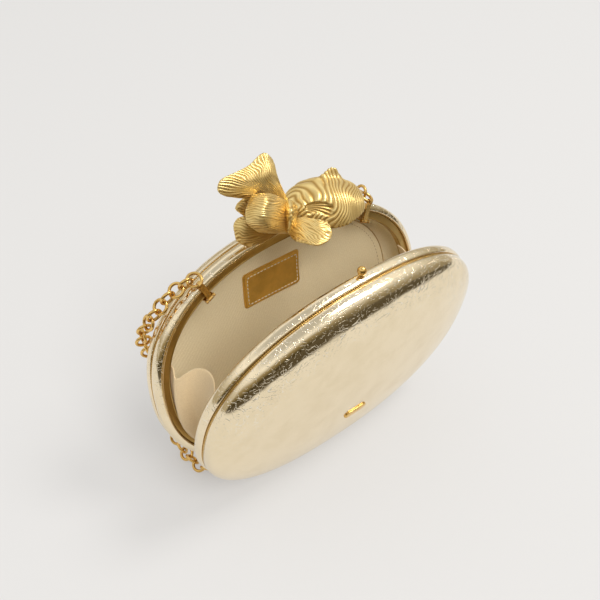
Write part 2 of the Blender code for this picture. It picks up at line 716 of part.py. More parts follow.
def smooth_line(points):
    """Catmull-Rom curve through the points, as a dense list."""
    line = [points[0] * 2 - points[1], *points, points[-1] * 2 - points[-2]]
    dense = []
    for a, b, c, d in zip(line, line[1:], line[2:], line[3:]):
        for step in range(ROUTE_STEPS):
            t = step / ROUTE_STEPS
            dense.append(0.5 * (2 * b + (c - a) * t + (2 * a - 5 * b + 4 * c - d) * t ** 2
                                + (3 * b - a - 3 * c + d) * t ** 3))
    dense.append(points[-1])
    return dense


def places_along(dense, spacings):
    """Points on a dense line after each spacing, the spacings scaled to end at its last point."""
    lengths = [0.0]
    for a, b in zip(dense, dense[1:]):
        lengths.append(lengths[-1] + (b - a).length)
    scale = lengths[-1] / sum(spacings)
    places, index, target = [dense[0]], 0, 0.0
    for spacing in spacings:
        target += spacing * scale
        while index < len(dense) - 2 and lengths[index + 1] < target:
            index += 1
        share = (target - lengths[index]) / (lengths[index + 1] - lengths[index])
        places.append(dense[index].lerp(dense[index + 1], share))
    return places, lengths[-1]


def ring_places():
    """Centres of all rings from lug to lug, with the first and the last one that lie on the floor."""
    points, rest = route_points()
    dense = smooth_line(points)
    length = sum((b - a).length for a, b in zip(dense, dense[1:]))
    slack = 4 * RING_SLACK_PITCH
    count = round((length - slack) / RING_PITCH)
    spacings = [RING_PITCH] * (count + 4)
    places = places_along(dense, spacings)[0]
    low = [index for index, place in enumerate(places) if place.z < rest + RING_WIRE_RADIUS]
    first, last = low[0], low[-1]
    for index in (0, first - 1, last, len(spacings) - 1):
        spacings[index] = RING_SLACK_PITCH
    places, length = places_along(dense, spacings)
    for place in places[first:last + 1]:
        place.z = max(place.z, rest)
    print("chain length", round(length, 4), "m in", len(places), "rings")
    return places, first, last


def quarter_turn(angle):
    """The angle within an eighth of a turn of zero that differs by whole quarter turns."""
    return (angle + math.pi / 4) % (math.pi / 2) - math.pi / 4


def turn_about(tangent, start, end):
    """Angle about a tangent from one direction to another."""
    start = start - tangent * start.dot(tangent)
    end = end - tangent * end.dot(tangent)
    return math.atan2(tangent.dot(start.cross(end)), start.dot(end))


def ring_matrices():
    """Placement of every ring: each a quarter turn from the last, and twisted so that the floor run lies level."""
    places, first, last = ring_places()
    facing = end_ring_matrix(-1).to_3x3().col[2]
    frames = []
    for index, place in enumerate(places):
        before = places[max(index - 1, 0)]
        after = places[min(index + 1, len(places) - 1)]
        tangent = (after - before).normalized()
        if frames:
            facing = frames[-1][1].rotation_difference(tangent) @ frames[-1][2]
        facing = (facing - tangent * facing.dot(tangent)).normalized()
        frames.append((place, tangent, facing.copy()))

    middle = (first + last) // 2
    place, tangent, carried = frames[middle]
    level = quarter_turn(turn_about(tangent, carried, Vector((0.0, 0.0, 1.0))) + RING_LAY)
    final = len(frames) - 1
    place, tangent, carried = frames[final]
    ending = turn_about(tangent, carried, end_ring_matrix(1).to_3x3().col[2]) - math.pi / 2 * (final % 2)
    ending = level + math.remainder(ending - level, math.pi)

    matrices = []
    for index, (place, tangent, carried) in enumerate(frames):
        if index <= first:
            twist = level * index / first
        elif index <= last:
            twist = level
        else:
            twist = level + (ending - level) * (index - last) / (final - last)
        normal = Matrix.Rotation(twist + math.pi / 2 * (index % 2), 3, tangent) @ carried
        matrix = Matrix((tangent, normal.cross(tangent), normal)).transposed().to_4x4()
        matrix.translation = place
        matrices.append(matrix)
    return matrices, first, last


def ring_mesh(steps, sides, side_turn):
    """Sections of a ring about Z, with a flat of its outline on the X axis."""
    rings = []
    for step in range(steps):
        angle = 2 * math.pi * (step + 0.5) / steps
        outward = Vector((math.cos(angle), math.sin(angle), 0.0))
        ring = []
        for side in range(sides):
            turn = 2 * math.pi * (side + side_turn) / sides
            radius = RING_WIRE_RADIUS * (RING_WIRE_SCALE * math.sqrt(2) if sides == 4 else 1.0)
            ring.append(outward * (RING_CENTRE_RADIUS + radius * math.cos(turn))
                        + Vector((0.0, 0.0, radius * math.sin(turn))))
        rings.append(ring)
    return rings


def rings_builder(rings, matrices):
    """Copies of one ring at several places, as one bmesh."""
    builder = bmesh.new()
    for matrix in matrices:
        rows = [[builder.verts.new(matrix @ point) for point in ring] for ring in rings]
        for first, second in zip(rows, rows[1:] + rows[:1]):
            for index in range(len(first)):
                after = (index + 1) % len(first)
                builder.faces.new((first[index], first[after], second[after], second[index]))
    return builder


def make_chain(shop):
    """End rings in the lugs, and the chain between them in three stretches of rings that bear on one another."""
    matrices, first, last = ring_matrices()
    ring = ring_mesh(RING_STEPS, RING_SIDES, 0.5)
    for name, start, end in (("chain_left_drop", 1, first), ("chain_floor_run", first, last + 1),
                             ("chain_right_drop", last + 1, len(matrices) - 1)):
        item = shop.add(name, rings_builder(ring, matrices[start:end:2]), "gold")
        tool = shop.add_cutter(name + "_odd_rings", rings_builder(ring, matrices[start + 1:end:2]))
        boolean(item, tool, "UNION")
    end_ring = ring_mesh(END_RING_STEPS, END_RING_SIDES, 0.5)
    for name, sign in (("left_end_ring", -1), ("right_end_ring", 1)):
        shop.add(name, rings_builder(end_ring, [end_ring_matrix(sign)]), "gold")


def rim_top(x):
    """Height of the rim's outline above the hinge at x."""
    return HINGE_TO_CENTRE + oval_height(RIM_HALF_LENGTH, RIM_HALF_HEIGHT, x)


def clear_height(x, depth):
    """Height above which a clasp piece clears the shut bag and the front shell's swing, in the rear frame."""
    top = rim_top(x)
    if depth < 0.0:
        reach = math.hypot(top, BAND_DEPTH / 2)
        return math.sqrt(reach * reach - depth * depth) + FISH_CLEARANCE
    if depth < PANEL_EDGE_DEPTH:
        return top + FISH_CLEARANCE
    over = (depth - PANEL_EDGE_DEPTH) / (CROWN_DEPTH - PANEL_EDGE_DEPTH)
    share = math.sqrt(max(0.0, 1.0 - over ** (1 / CROWN_POWER)))
    half_length, half_height = crown_half_sizes(PANEL_INSET)
    return HINGE_TO_CENTRE + oval_height(half_length * share, half_height * share, x) + FISH_CLEARANCE


def body_ring(station, width_share, height_share):
    """One arch of the hollow body, from its front edge over the back to its rear edge."""
    x = BODY_START + BODY_LENGTH * station
    half = BODY_HALF_WIDTH * width_share
    near, far = BODY_CENTRE_DEPTH - half, BODY_CENTRE_DEPTH + half
    near_z, far_z = clear_height(x, near), clear_height(x, far)
    apex = clear_height(x, 0.0) + BODY_HEIGHT * height_share
    ring = []
    for step in range(BODY_ARCH_STEPS + 1):
        angle = math.pi * step / BODY_ARCH_STEPS
        depth = BODY_CENTRE_DEPTH - half * math.cos(angle)
        base = near_z + (far_z - near_z) * step / BODY_ARCH_STEPS
        ring.append(Vector((x, depth, base + (apex - base) * math.sin(angle) ** BODY_ARCH_POWER)))
    return ring


# Each fin has its root first, as shares of the body's length, half width and height. Then come the ends of its rays,
# as shares of the fish's length along X, into the shell and up from the rim's top.
DORSAL_SHARES = ((0.484, -0.05, 0.39), (0.10, -0.045, 0.17), (0.20, -0.045, 0.215), (0.29, -0.04, 0.24),
                 (0.355, -0.04, 0.245), (0.385, -0.04, 0.19), (0.41, -0.04, 0.13))
PECTORAL_SHARES = ((0.161, -0.275, 0.512), (0.19, -0.24, 0.14), (0.15, -0.28, 0.065), (0.08, -0.305, 0.0),
                   (0.0, -0.32, -0.015), (-0.07, -0.32, 0.0), (-0.13, -0.30, 0.05), (-0.13, -0.28, 0.12))
UPPER_TAIL_SHARES = ((0.204, 0.02, 0.35), (-0.045, 0.02, 0.44), (-0.087, 0.02, 0.46), (-0.17, 0.01, 0.455),
                     (-0.285, -0.02, 0.43), (-0.39, -0.03, 0.43), (-0.48, -0.03, 0.42), (-0.46, -0.03, 0.37),
                     (-0.36, -0.03, 0.29))
FRONT_TAIL_SHARES = ((0.148, -0.121, 0.378), (-0.20, -0.14, 0.325), (-0.27, -0.15, 0.32), (-0.35, -0.15, 0.31),
                     (-0.385, -0.15, 0.25), (-0.36, -0.15, 0.17), (-0.29, -0.15, 0.125), (-0.21, -0.15, 0.10),
                     (-0.13, -0.15, 0.085))
LOWER_TAIL_SHARES = ((0.156, 0.005, 0.345), (-0.40, -0.01, 0.19), (-0.40, 0.0, 0.13), (-0.37, 0.0, 0.07),
                     (-0.31, 0.0, 0.02), (-0.22, -0.01, 0.02), (-0.13, -0.03, 0.02))
TAIL_STEM_SHARES = (0.129, -0.075, 0.61)
TAIL_STEM_SIZE_SHARES = (0.153, 0.31, 0.293)
FIN_SHARES = {"dorsal": DORSAL_SHARES, "pectoral": PECTORAL_SHARES, "upper_tail": UPPER_TAIL_SHARES,
              "front_tail": FRONT_TAIL_SHARES, "lower_tail": LOWER_TAIL_SHARES}
FIN_BULGE_SHARES = {"dorsal": 0.0, "pectoral": 0.035, "upper_tail": 0.02, "front_tail": 0.06, "lower_tail": 0.03}


def fish_point(shares):
    x, depth, rise = shares
    return Vector((x * FISH_LENGTH, depth * FISH_LENGTH, RIM_TOP + rise * FISH_LENGTH))


def body_point(shares):
    """Place in the fish's body, from shares of its length, half width and height."""
    station, across, rise = shares
    return Vector((BODY_START + station * BODY_LENGTH, BODY_CENTRE_DEPTH + across * BODY_HALF_WIDTH,
                   RIM_TOP + rise * BODY_HEIGHT))


def fin_builder(points, bulge_share):
    """A fan of rays from a root in the body, bowed outward along the fan's own normal."""
    root = body_point(points[0])
    ends = [fish_point(point) for point in points[1:]]
    normal = Vector()
    for first, second in zip(ends, ends[1:]):
        normal += (first - root).cross(second - root)
    normal.normalize()
    if normal.y > 0.0:
        normal.negate()
    lines = []
    for end in ends:
        line = []
        for step in range(FIN_STEPS + 1):
            share = FIN_ROOT_SHARE + (1.0 - FIN_ROOT_SHARE) * step / FIN_STEPS
            lift = bulge_share * FISH_LENGTH * math.sin(math.pi * share)
            point = root.lerp(end, share) + normal * lift
            point.z = max(point.z, clear_height(point.x, point.y) + FIN_THICKNESS / 2)
            line.append(point)
        lines.append(line)
    return loft(lines, closed_rings=False)


def solid_fin(shop, name, points, bulge_share):
    """A fin as a hidden tool, thickened and ready to join to a casting."""
    tool = shop.add_cutter(name, fin_builder(points, bulge_share), REAR)
    thicken(tool, FIN_THICKNESS, offset=0.0, even=False)
    return tool


def ball_path(shop):
    """The space that the ball on the front rim sweeps as the bag opens and shuts, as a slice of a disc."""
    reach = math.hypot(RIM_TOP + BALL_RISE, BALL_DEPTH) + BALL_RADIUS + FISH_CLEARANCE
    half = BALL_RADIUS + FISH_CLEARANCE
    sections = []
    for x in (-half, half):
        ring = [Vector((x, 0.0, 0.0))]
        for step in range(BALL_PATH_STEPS + 1):
            angle = BALL_PATH_START + (BALL_PATH_END - BALL_PATH_START) * step / BALL_PATH_STEPS
            ring.append(Vector((x, -reach * math.sin(angle), reach * math.cos(angle))))
        sections.append(ring)
    return shop.add_cutter("ball_path", cap_ends(loft(sections), len(sections[0])), REAR)


def saddle_rings(clearance):
    """Sections of the clasp's base along the rear rim, grown by a clearance."""
    rings = []
    near, far = BASE_NEAR_DEPTH - clearance, BASE_FAR_DEPTH + clearance
    start, end = BASE_START - clearance, BASE_END + clearance
    for step in range(BASE_STEPS + 1):
        x = start + (end - start) * step / BASE_STEPS
        low = rim_top(x) + FIT_GAP
        high = low + BASE_THICKNESS + clearance
        low -= clearance
        rings.append([Vector((x, near, low)), Vector((x, far, low)), Vector((x, far, high)), Vector((x, near, high))])
    return rings


def catch_sections(clearance):
    """End sections of the catch for the ball: a riser from the base and a lip over the ball, grown by a clearance."""
    under = math.hypot(RIM_TOP + BALL_RISE, BALL_DEPTH) + BALL_RADIUS + CATCH_CLEARANCE
    over = under + CATCH_THICKNESS + clearance
    under -= clearance
    half = CATCH_WIDTH / 2 + clearance
    front = -CATCH_REACH - clearance
    riser_near = BASE_NEAR_DEPTH + CATCH_THICKNESS - clearance
    riser_far = BASE_NEAR_DEPTH + 2 * CATCH_THICKNESS + clearance
    foot = RIM_TOP + FIT_GAP + BASE_THICKNESS / 2
    outline = ((front, under), (riser_near, under), (riser_near, foot), (riser_far, foot), (riser_far, over),
               (front, over))
    return [[Vector((x, depth, height)) for depth, height in outline] for x in (-half, half)]


def clasp_room(shop):
    """Room under the fish for the base, the catch and the rear shell."""
    saddle = saddle_rings(FIT_GAP)
    catch = catch_sections(FIT_GAP)
    half_length, half_height = crown_half_sizes(PANEL_INSET)
    shell = [oval_ring(half_length * share + FISH_CLEARANCE, half_height * share + FISH_CLEARANCE,
                       crown_depth(share, PANEL_EDGE_DEPTH, CROWN_DEPTH) + FISH_CLEARANCE)
             for share in PANEL_RING_SHARES]
    shell.insert(0, oval_ring(half_length + FISH_CLEARANCE, half_height + FISH_CLEARANCE, BASE_FAR_DEPTH))
    return [shop.add_cutter("fish_base_room", cap_ends(loft(saddle), len(saddle[0])), REAR),
            shop.add_cutter("fish_catch_room", cap_ends(loft(catch), len(catch[0])), REAR),
            shop.add_cutter("fish_shell_room", cap_ends(loft(shell), OVAL_SEGMENTS), REAR)]


def make_fish(shop):
    """The clasp's casting: a hollow body with a dorsal and a pectoral fin, and a tail of three lobes."""
    rings = [body_ring(*row) for row in zip(BODY_STATION_SHARES, BODY_WIDTH_SHARES, BODY_HEIGHT_SHARES)]
    fish = shop.add("goldfish_casting", loft(rings, closed_rings=False), "gold", REAR)
    thicken(fish, FISH_WALL)
    stem = bmesh.new()
    along, across, rise = TAIL_STEM_SIZE_SHARES
    size = Matrix.Diagonal((along * BODY_LENGTH, across * BODY_HALF_WIDTH, rise * BODY_HEIGHT, 1.0))
    bmesh.ops.create_uvsphere(stem, u_segments=ROUND_SIDES, v_segments=STEM_RINGS, radius=1.0,
                              matrix=Matrix.Translation(body_point(TAIL_STEM_SHARES)) @ size)
    boolean(fish, shop.add_cutter("fish_tail_stem", stem, REAR), "UNION")
    for name, points in FIN_SHARES.items():
        boolean(fish, solid_fin(shop, "fish_" + name, points, FIN_BULGE_SHARES[name]), "UNION", folded=True)
    for tool in (ball_path(shop), *clasp_room(shop)):
        boolean(fish, tool)
    return fish


def rivet_places():
    middle = (BASE_START + BASE_END) / 2
    half = (BASE_END - BASE_START) / 2 * RIVET_PLACES_SHARE
    depth = (BASE_NEAR_DEPTH + BASE_FAR_DEPTH) / 2
    return [(middle - half, depth), (middle + half, depth)]


def make_clasp_base(shop, band):
    """A brass saddle on the rear rim that carries the fish, its two rivets and the catch for the ball."""
    rings = saddle_rings(0.0)
    base = shop.add("clasp_base", cap_ends(loft(rings), len(rings[0])), "brass", REAR, smooth=False)
    sections = catch_sections(0.0)
    catch = shop.add_cutter("catch", cap_ends(loft(sections), len(sections[0])), REAR)
    under, over = sections[0][0].z, sections[0][-1].z
    hole = rod_builder((0.0, -BALL_DEPTH, under - CUT_OVERRUN), (0.0, -BALL_DEPTH, over + CUT_OVERRUN),
                       CATCH_HOLE_RADIUS)
    boolean(base, catch, "UNION")
    boolean(base, shop.add_cutter("catch_hole", hole, REAR))

    for name, (x, depth) in zip(("left_clasp_rivet", "right_clasp_rivet"), rivet_places()):
        seat = rim_top(x) + 2 * FIT_GAP + BASE_THICKNESS
        head = rod_builder((x, depth, seat), (x, depth, seat + RIVET_HEAD_THICKNESS), RIVET_HEAD_RADIUS)
        shank = rod_builder((x, depth, seat - RIVET_LENGTH), (x, depth, seat + FIT_GAP), RIVET_RADIUS)
        hole = rod_builder((x, depth, seat - RIVET_LENGTH - FIT_GAP), (x, depth, seat + CUT_OVERRUN),
                           RIVET_RADIUS + FIT_GAP)
        rivet = shop.add(name, head, "brass", REAR)
        boolean(rivet, shop.add_cutter(name + "_shank", shank, REAR), "UNION")
        hole = shop.add_cutter(name + "_hole", hole, REAR)
        boolean(base, hole)
        boolean(band, hole)


def make_ball_stud(shop, band):
    """The ball on its collar and post, set in the middle of the front rim."""
    seat = RIM_TOP + FIT_GAP
    builder = bmesh.new()
    bmesh.ops.create_uvsphere(builder, u_segments=12, v_segments=8, radius=BALL_RADIUS,
                              matrix=Matrix.Translation((0.0, BALL_DEPTH, RIM_TOP + BALL_RISE)))
    ball = shop.add("ball_stud", builder, "gold", FRONT)
    collar = rod_builder((0.0, BALL_DEPTH, seat), (0.0, BALL_DEPTH, seat + STUD_COLLAR_THICKNESS),
                         STUD_COLLAR_RADIUS)
    post = rod_builder((0.0, BALL_DEPTH, seat - STUD_POST_LENGTH), (0.0, BALL_DEPTH, seat + BALL_RISE),
                       STUD_POST_RADIUS)
    hole = rod_builder((0.0, BALL_DEPTH, seat - STUD_POST_LENGTH - STUD_CLEARANCE),
                       (0.0, BALL_DEPTH, seat + CUT_OVERRUN), STUD_POST_RADIUS + STUD_CLEARANCE)
    below = box_builder((-BALL_RADIUS, BALL_DEPTH - BALL_RADIUS, seat - BALL_RADIUS),
                        (BALL_RADIUS, BALL_DEPTH + BALL_RADIUS, seat))
    boolean(ball, shop.add_cutter("ball_seat", below, FRONT))
    boolean(ball, shop.add_cutter("stud_collar", collar, FRONT), "UNION")
    boolean(ball, shop.add_cutter("stud_post", post, FRONT), "UNION")
    boolean(band, shop.add_cutter("stud_hole", hole, FRONT))


def main():
    shop = Workshop()
    floor_cutter = make_floor_cutter(shop)
    rear_band = make_shell(shop, REAR, "rear", floor_cutter)
    front_band = make_shell(shop, FRONT, "front", floor_cutter)
    make_back_card(shop)
    make_label(shop)
    make_gusset(shop, -1, "left_gusset")
    make_gusset(shop, 1, "right_gusset")
    make_hinge(shop)
    for sign, prefix in ((-1, "left"), (1, "right")):
        make_lug(shop, sign, prefix)
        cut_lug_relief(shop, front_band, sign, prefix + "_lug_relief")
    make_clasp_base(shop, rear_band)
    make_fish(shop)
    make_ball_stud(shop, front_band)
    make_chain(shop)
    bpy.context.view_layer.update()


main()
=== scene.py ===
"""Looks of the clutch bag: foil leather shells, brass frames, lining, gussets, goldfish clasp and ring chain.

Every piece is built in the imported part's own frame: metres, +Z up, +X along the bag, and the origin on the
floor in the middle of the rear shell's foot. A shell's own frame has X along the hinge, Y from the mouth
plane into the shell and Z up the mouth plane.
"""
from __future__ import annotations

import json
import logging
import math
from dataclasses import dataclass, field
from enum import Enum
from typing import Sequence

import bmesh
import bpy
import numpy as np
from mathutils import Matrix, Vector, noise

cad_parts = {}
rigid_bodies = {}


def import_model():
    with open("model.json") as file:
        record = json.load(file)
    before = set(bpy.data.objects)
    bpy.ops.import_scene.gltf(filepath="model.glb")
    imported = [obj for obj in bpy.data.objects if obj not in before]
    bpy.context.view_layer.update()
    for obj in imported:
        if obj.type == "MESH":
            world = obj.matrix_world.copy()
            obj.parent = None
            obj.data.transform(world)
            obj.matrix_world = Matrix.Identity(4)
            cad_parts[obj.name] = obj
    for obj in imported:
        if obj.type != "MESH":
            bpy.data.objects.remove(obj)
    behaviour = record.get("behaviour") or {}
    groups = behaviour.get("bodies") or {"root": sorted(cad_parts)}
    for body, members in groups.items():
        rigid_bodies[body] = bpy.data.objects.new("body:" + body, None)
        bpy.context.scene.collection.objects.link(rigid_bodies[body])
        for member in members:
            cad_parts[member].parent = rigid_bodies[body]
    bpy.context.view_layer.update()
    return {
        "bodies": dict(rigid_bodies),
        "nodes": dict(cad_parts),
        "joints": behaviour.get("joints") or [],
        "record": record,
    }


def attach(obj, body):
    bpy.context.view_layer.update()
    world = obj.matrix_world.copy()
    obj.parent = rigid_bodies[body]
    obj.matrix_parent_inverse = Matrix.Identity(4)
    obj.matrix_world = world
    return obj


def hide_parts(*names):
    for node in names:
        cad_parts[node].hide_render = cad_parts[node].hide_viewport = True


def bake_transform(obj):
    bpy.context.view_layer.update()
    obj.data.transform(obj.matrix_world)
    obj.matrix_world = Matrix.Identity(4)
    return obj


LOG = logging.getLogger("clutch_bag")

Colour = tuple[float, float, float]
Pairs = tuple[tuple[float, float], ...]
Triples = tuple[tuple[float, float, float], ...]
Grid = np.ndarray
Socket = bpy.types.NodeSocket


class Side(Enum):
    """The two shells. The value is the sign of Y that leads from the mouth plane into the shell."""

    REAR = 1
    FRONT = -1

    @property
    def word(self) -> str:
        """Name of the side as the parts use it."""
        return self.name.lower()

    @property
    def body(self) -> str:
        """Name of the body that the side's pieces ride on."""
        return self.word + "_shell"


@dataclass(frozen=True)
class BagSizes:
    """Sizes that several sub-assemblies share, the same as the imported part's."""

    oval_power: float = 2.31
    half_length: float = 0.1055
    half_height: float = 0.0725
    hinge_to_centre: float = 0.0713
    tilt: float = math.radians(11.7)
    hinge: tuple[float, float, float] = (0.0, -0.012139, 0.002072)
    mouth_gap: float = 0.00025
    band_thickness: float = 0.0046
    band_depth: float = 0.0076
    panel_inset: float = 0.0010
    panel_edge_depth: float = 0.00945
    crown_depth: float = 0.0294
    crown_power: float = 0.3456
    fit_gap: float = 0.0003
    frame_width: float = 0.0045
    lip_depth: float = 0.0055
    lining_inset: float = 0.0078
    lining_edge_depth: float = 0.0087
    lining_top: float = 0.0271
    ball_radius: float = 0.0027
    ball_rise: float = 0.0026
    ball_depth: float = 0.0026
    lug_x: float = 0.0655

    @property
    def rim_top(self) -> float:
        """Height of the rim's top over the hinge, along the mouth plane."""
        return self.hinge_to_centre + self.half_height

    def matrix(self, side: Side) -> Matrix:
        """Placement of a shell's frame in the part."""
        return Matrix.Translation(self.hinge) @ Matrix.Rotation(-side.value * self.tilt, 4, "X")


BAG = BagSizes()


def run_of(line: Grid) -> Grid:
    """Length along a line at each of its points."""
    return np.concatenate([[0.0], np.cumsum(np.linalg.norm(np.diff(line, axis=0), axis=1))])


def at_run(line: Grid, run: Grid, wanted: Grid) -> Grid:
    """Points of a line at wanted lengths along it, where run holds the length at each of its own points."""
    return np.stack([np.interp(wanted, run, line[:, axis]) for axis in range(line.shape[1])], axis=1)


def spaced(points: Grid, count: int, closed: bool = False) -> Grid:
    """Resample a polyline at equal steps.

    Args:
        points: Points of the line, one row each.
        count: Number of points wanted.
        closed: Whether the line returns to its first point, which isn't repeated.

    Returns:
        The new points.
    """
    line = np.vstack([points, points[:1]]) if closed else points
    run = run_of(line)
    return at_run(line, run, np.linspace(0.0, run[-1], count, endpoint=not closed))


def smooth_rows(rows: Sequence[Sequence[float]], count: int) -> Grid:
    """Catmull-Rom curve through a table's rows, as equally spaced parameters.

    Args:
        rows: Rows of numbers.
        count: Number of rows wanted.

    Returns:
        The interpolated rows.
    """
    table = np.array(rows, float)
    table = np.vstack([2 * table[0] - table[1], table, 2 * table[-1] - table[-2]])
    place = np.linspace(0.0, len(rows) - 1, count)
    index = np.minimum(place.astype(int), len(rows) - 2)
    t = (place - index)[:, None]
    a, b, c, d = (table[index + step] for step in range(4))
    a, b, c, d = (table[index + step] for step in range(4))
    square = 2 * a - 5 * b + 4 * c - d
    cube = 3 * b - a - 3 * c + d
    return 0.5 * (2 * b + (c - a) * t + square * t ** 2 + cube * t ** 3)


def oval_direction(angle: Grid) -> Grid:
    """Points (x, z) at angles on the rim's oval, with half sizes of 1."""
    turned = np.stack([np.cos(angle), np.sin(angle)], axis=1)
    return np.sign(turned) * np.abs(turned) ** (2 / BAG.oval_power)


def full_turn(count: int, turns: int = 1) -> Grid:
    """Angles evenly spaced over one or more turns, without the last."""
    return np.linspace(0.0, 2 * math.pi * turns, count, endpoint=False)


def unit_oval(count: int, fine: int = 4000) -> Grid:
    """Points (x, z) of the rim's oval with half sizes of 1, evenly spaced on the real one."""
    oval = oval_direction(full_turn(fine))
    size = np.array([BAG.half_length, BAG.half_height])
    return spaced(oval * size, count, closed=True) / size


def rounded_outline(half: Sequence[float], corner: float, steps: int = 8) -> Grid:
    """Points (x, z) round an upright rectangle with rounded corners, about its centre.

    Args:
        half: Half length and half height.
        corner: Radius of the corners.
        steps: Steps round each corner.

    Returns:
        The outline's points.
    """
    points = []
    for quarter, (sign_x, sign_z) in enumerate(((1, 1), (-1, 1), (-1, -1), (1, -1))):
        for step in range(steps + 1):
            angle = math.pi / 2 * (quarter + step / steps)
            points.append((sign_x * (half[0] - corner) + corner * math.cos(angle),
                           sign_z * (half[1] - corner) + corner * math.sin(angle)))
    return np.array(points)


def crown(share: Grid, edge: float, top: float) -> Grid:
    """Depth of a crowned shell at a share of its outline."""
    return edge + (top - edge) * np.clip(1.0 - share ** 2, 0.0, None) ** BAG.crown_power


def oval_height(half_length: float, half_height: float, x: float) -> float:
    """Height of the oval above its centre at x."""
    share = min(abs(x) / half_length, 1.0)
    return half_height * (1.0 - share ** BAG.oval_power) ** (1 / BAG.oval_power)


def placed(points: Grid, matrix: Matrix) -> Grid:
    """Points moved by a matrix, keeping the array's shape."""
    turn = np.array(matrix.to_3x3())
    return points @ turn.T + np.array(matrix.translation)


def normals_of(grid: Grid, wrap: bool = False) -> Grid:
    """Unit normals of a grid of points.

    Args:
        grid: Points, rows by columns by 3.
        wrap: Whether the last column joins the first.

    Returns:
        Normals, in the same shape.
    """
    if wrap:
        across = np.roll(grid, -1, axis=1) - np.roll(grid, 1, axis=1)
    else:
        across = np.gradient(grid, axis=1)
    along = np.gradient(grid, axis=0)
    normal = np.cross(across, along)
    return normal / np.maximum(np.linalg.norm(normal, axis=2, keepdims=True), 1e-12)


def rippled(grid: Grid, scale: float, octaves: int, amount: Grid | float) -> Grid:
    """Push a ring's grid in and out along its normals by noise.

    Args:
        grid: Points, whose last column joins the first.
        scale: Scale of the noise, per metre.
        octaves: Its octaves.
        amount: Height of the ripples, one number or one per point.

    Returns:
        The rippled grid.
    """
    lift = [[noise.fractal(Vector(point) * scale, 1.0, 2.0, octaves) for point in row] for row in grid]
    return grid + normals_of(grid, wrap=True) * (np.array(lift) * amount)[..., None]


def drift(rows: Grid, columns: Grid, layer: float) -> Grid:
    """Smooth noise over a grid of two coordinates, in one layer of its space."""
    return np.array([[noise.noise(Vector((u, v, layer))) for v in columns] for u in rows])


class MeshDraft:
    """Vertices, faces and surface coordinates of one piece while it is being built."""

    def __init__(self) -> None:
        """Start an empty draft."""
        self.points: list[Grid] = []
        self.faces: list[tuple[int, ...]] = []
        self.uvs: list[Grid] = []
        self.fields: dict[str, list[Grid]] = {}
        self.count = 0

    def add_grid(self, grid: Grid, wrap_columns: bool = False, wrap_rows: bool = False,
                 uv: Grid | None = None, flip: bool = False, close_first: bool = False,
                 close_last: bool = False, **fields: Grid) -> int:
        """Add a grid of points skinned with quads.

        Args:
            grid: Points, rows by columns by 3.
            wrap_columns: Whether the last column joins the first.
            wrap_rows: Whether the last row joins the first.
            uv: Surface coordinates, rows by columns by 2.
            flip: Turn the faces over.
            close_first: Whether one face closes the first row.
            close_last: Whether one face closes the last row.
            fields: Named values per point, rows by columns.

        Returns:
            Index of the grid's first point.
        """
        rows, columns = grid.shape[:2]
        start = self.count
        self.points.append(grid.reshape(-1, 3))
        self.uvs.append((uv if uv is not None else grid[..., [0, 2]]).reshape(-1, 2))
        for name in set(self.fields) | set(fields):
            known = self.fields.setdefault(name, [np.zeros(start)] if start else [])
            known.append(fields[name].reshape(-1) if name in fields else np.zeros(rows * columns))
        self.count += rows * columns
        for row in range(rows if wrap_rows else rows - 1):
            below = start + (row + 1) % rows * columns
            here = start + row * columns
            for column in range(columns if wrap_columns else columns - 1):
                after = (column + 1) % columns
                quad = (here + column, here + after, below + after, below + column)
                self.faces.append(quad[::-1] if flip else quad)
        ends = ((close_first, start, not flip), (close_last, self.count - columns, flip))
        for closed, first, turned in ends:
            if closed:
                ring = tuple(range(first, first + columns))
                self.faces.append(ring[::-1] if turned else ring)
        return start

    def bridge(self, first: Sequence[int], second: Sequence[int]) -> None:
        """Skin two closed rings of points that are already in the draft."""
        for index in range(len(first)):
            after = (index + 1) % len(first)
            self.faces.append((first[index], first[after], second[after], second[index]))

    def to_object(self, name: str, outward: bool = False) -> bpy.types.Object:
        """Make the piece.

        Args:
            name: Name of the piece.
            outward: Whether to turn a closed piece's faces outward.

        Returns:
            The new object.
        """
        mesh = bpy.data.meshes.new(name)
        mesh.from_pydata(np.vstack(self.points).tolist(), [], self.faces)
        layer = mesh.uv_layers.new(name="surface")
        loops = np.zeros(len(mesh.loops), int)
        mesh.loops.foreach_get("vertex_index", loops)
        layer.data.foreach_set("uv", np.vstack(self.uvs)[loops].astype(np.float32).ravel())
        for key, values in self.fields.items():
            attribute = mesh.attributes.new(key, "FLOAT", "POINT")
            attribute.data.foreach_set("value", np.concatenate(values).astype(np.float32))
        mesh.validate()
        item = bpy.data.objects.new(name, mesh)
        bpy.context.scene.collection.objects.link(item)
        mesh.shade_smooth()
        if outward:
            builder = bmesh.new()
            builder.from_mesh(mesh)
            bmesh.ops.recalc_face_normals(builder, faces=builder.faces)
            builder.to_mesh(mesh)
            builder.free()
        return item


def wall(item: bpy.types.Object, thickness: float, offset: float = -1.0) -> None:
    """Give an open surface its thickness."""
    modifier = item.modifiers.new("wall", "SOLIDIFY")
    modifier.thickness = thickness
    modifier.offset = offset


def soften(item: bpy.types.Object, width: float, segments: int, angle: float) -> None:
    """Round a piece's edges that are sharper than an angle in radians.

    Args:
        item: The piece.
        width: Width of the rounding.
        segments: Steps across it.
        angle: Edges sharper than this are rounded.
    """
    modifier = item.modifiers.new("soft_edge", "BEVEL")
    modifier.width = width
    modifier.segments = segments
    modifier.limit_method = "ANGLE"
    modifier.angle_limit = angle
    modifier.harden_normals = False


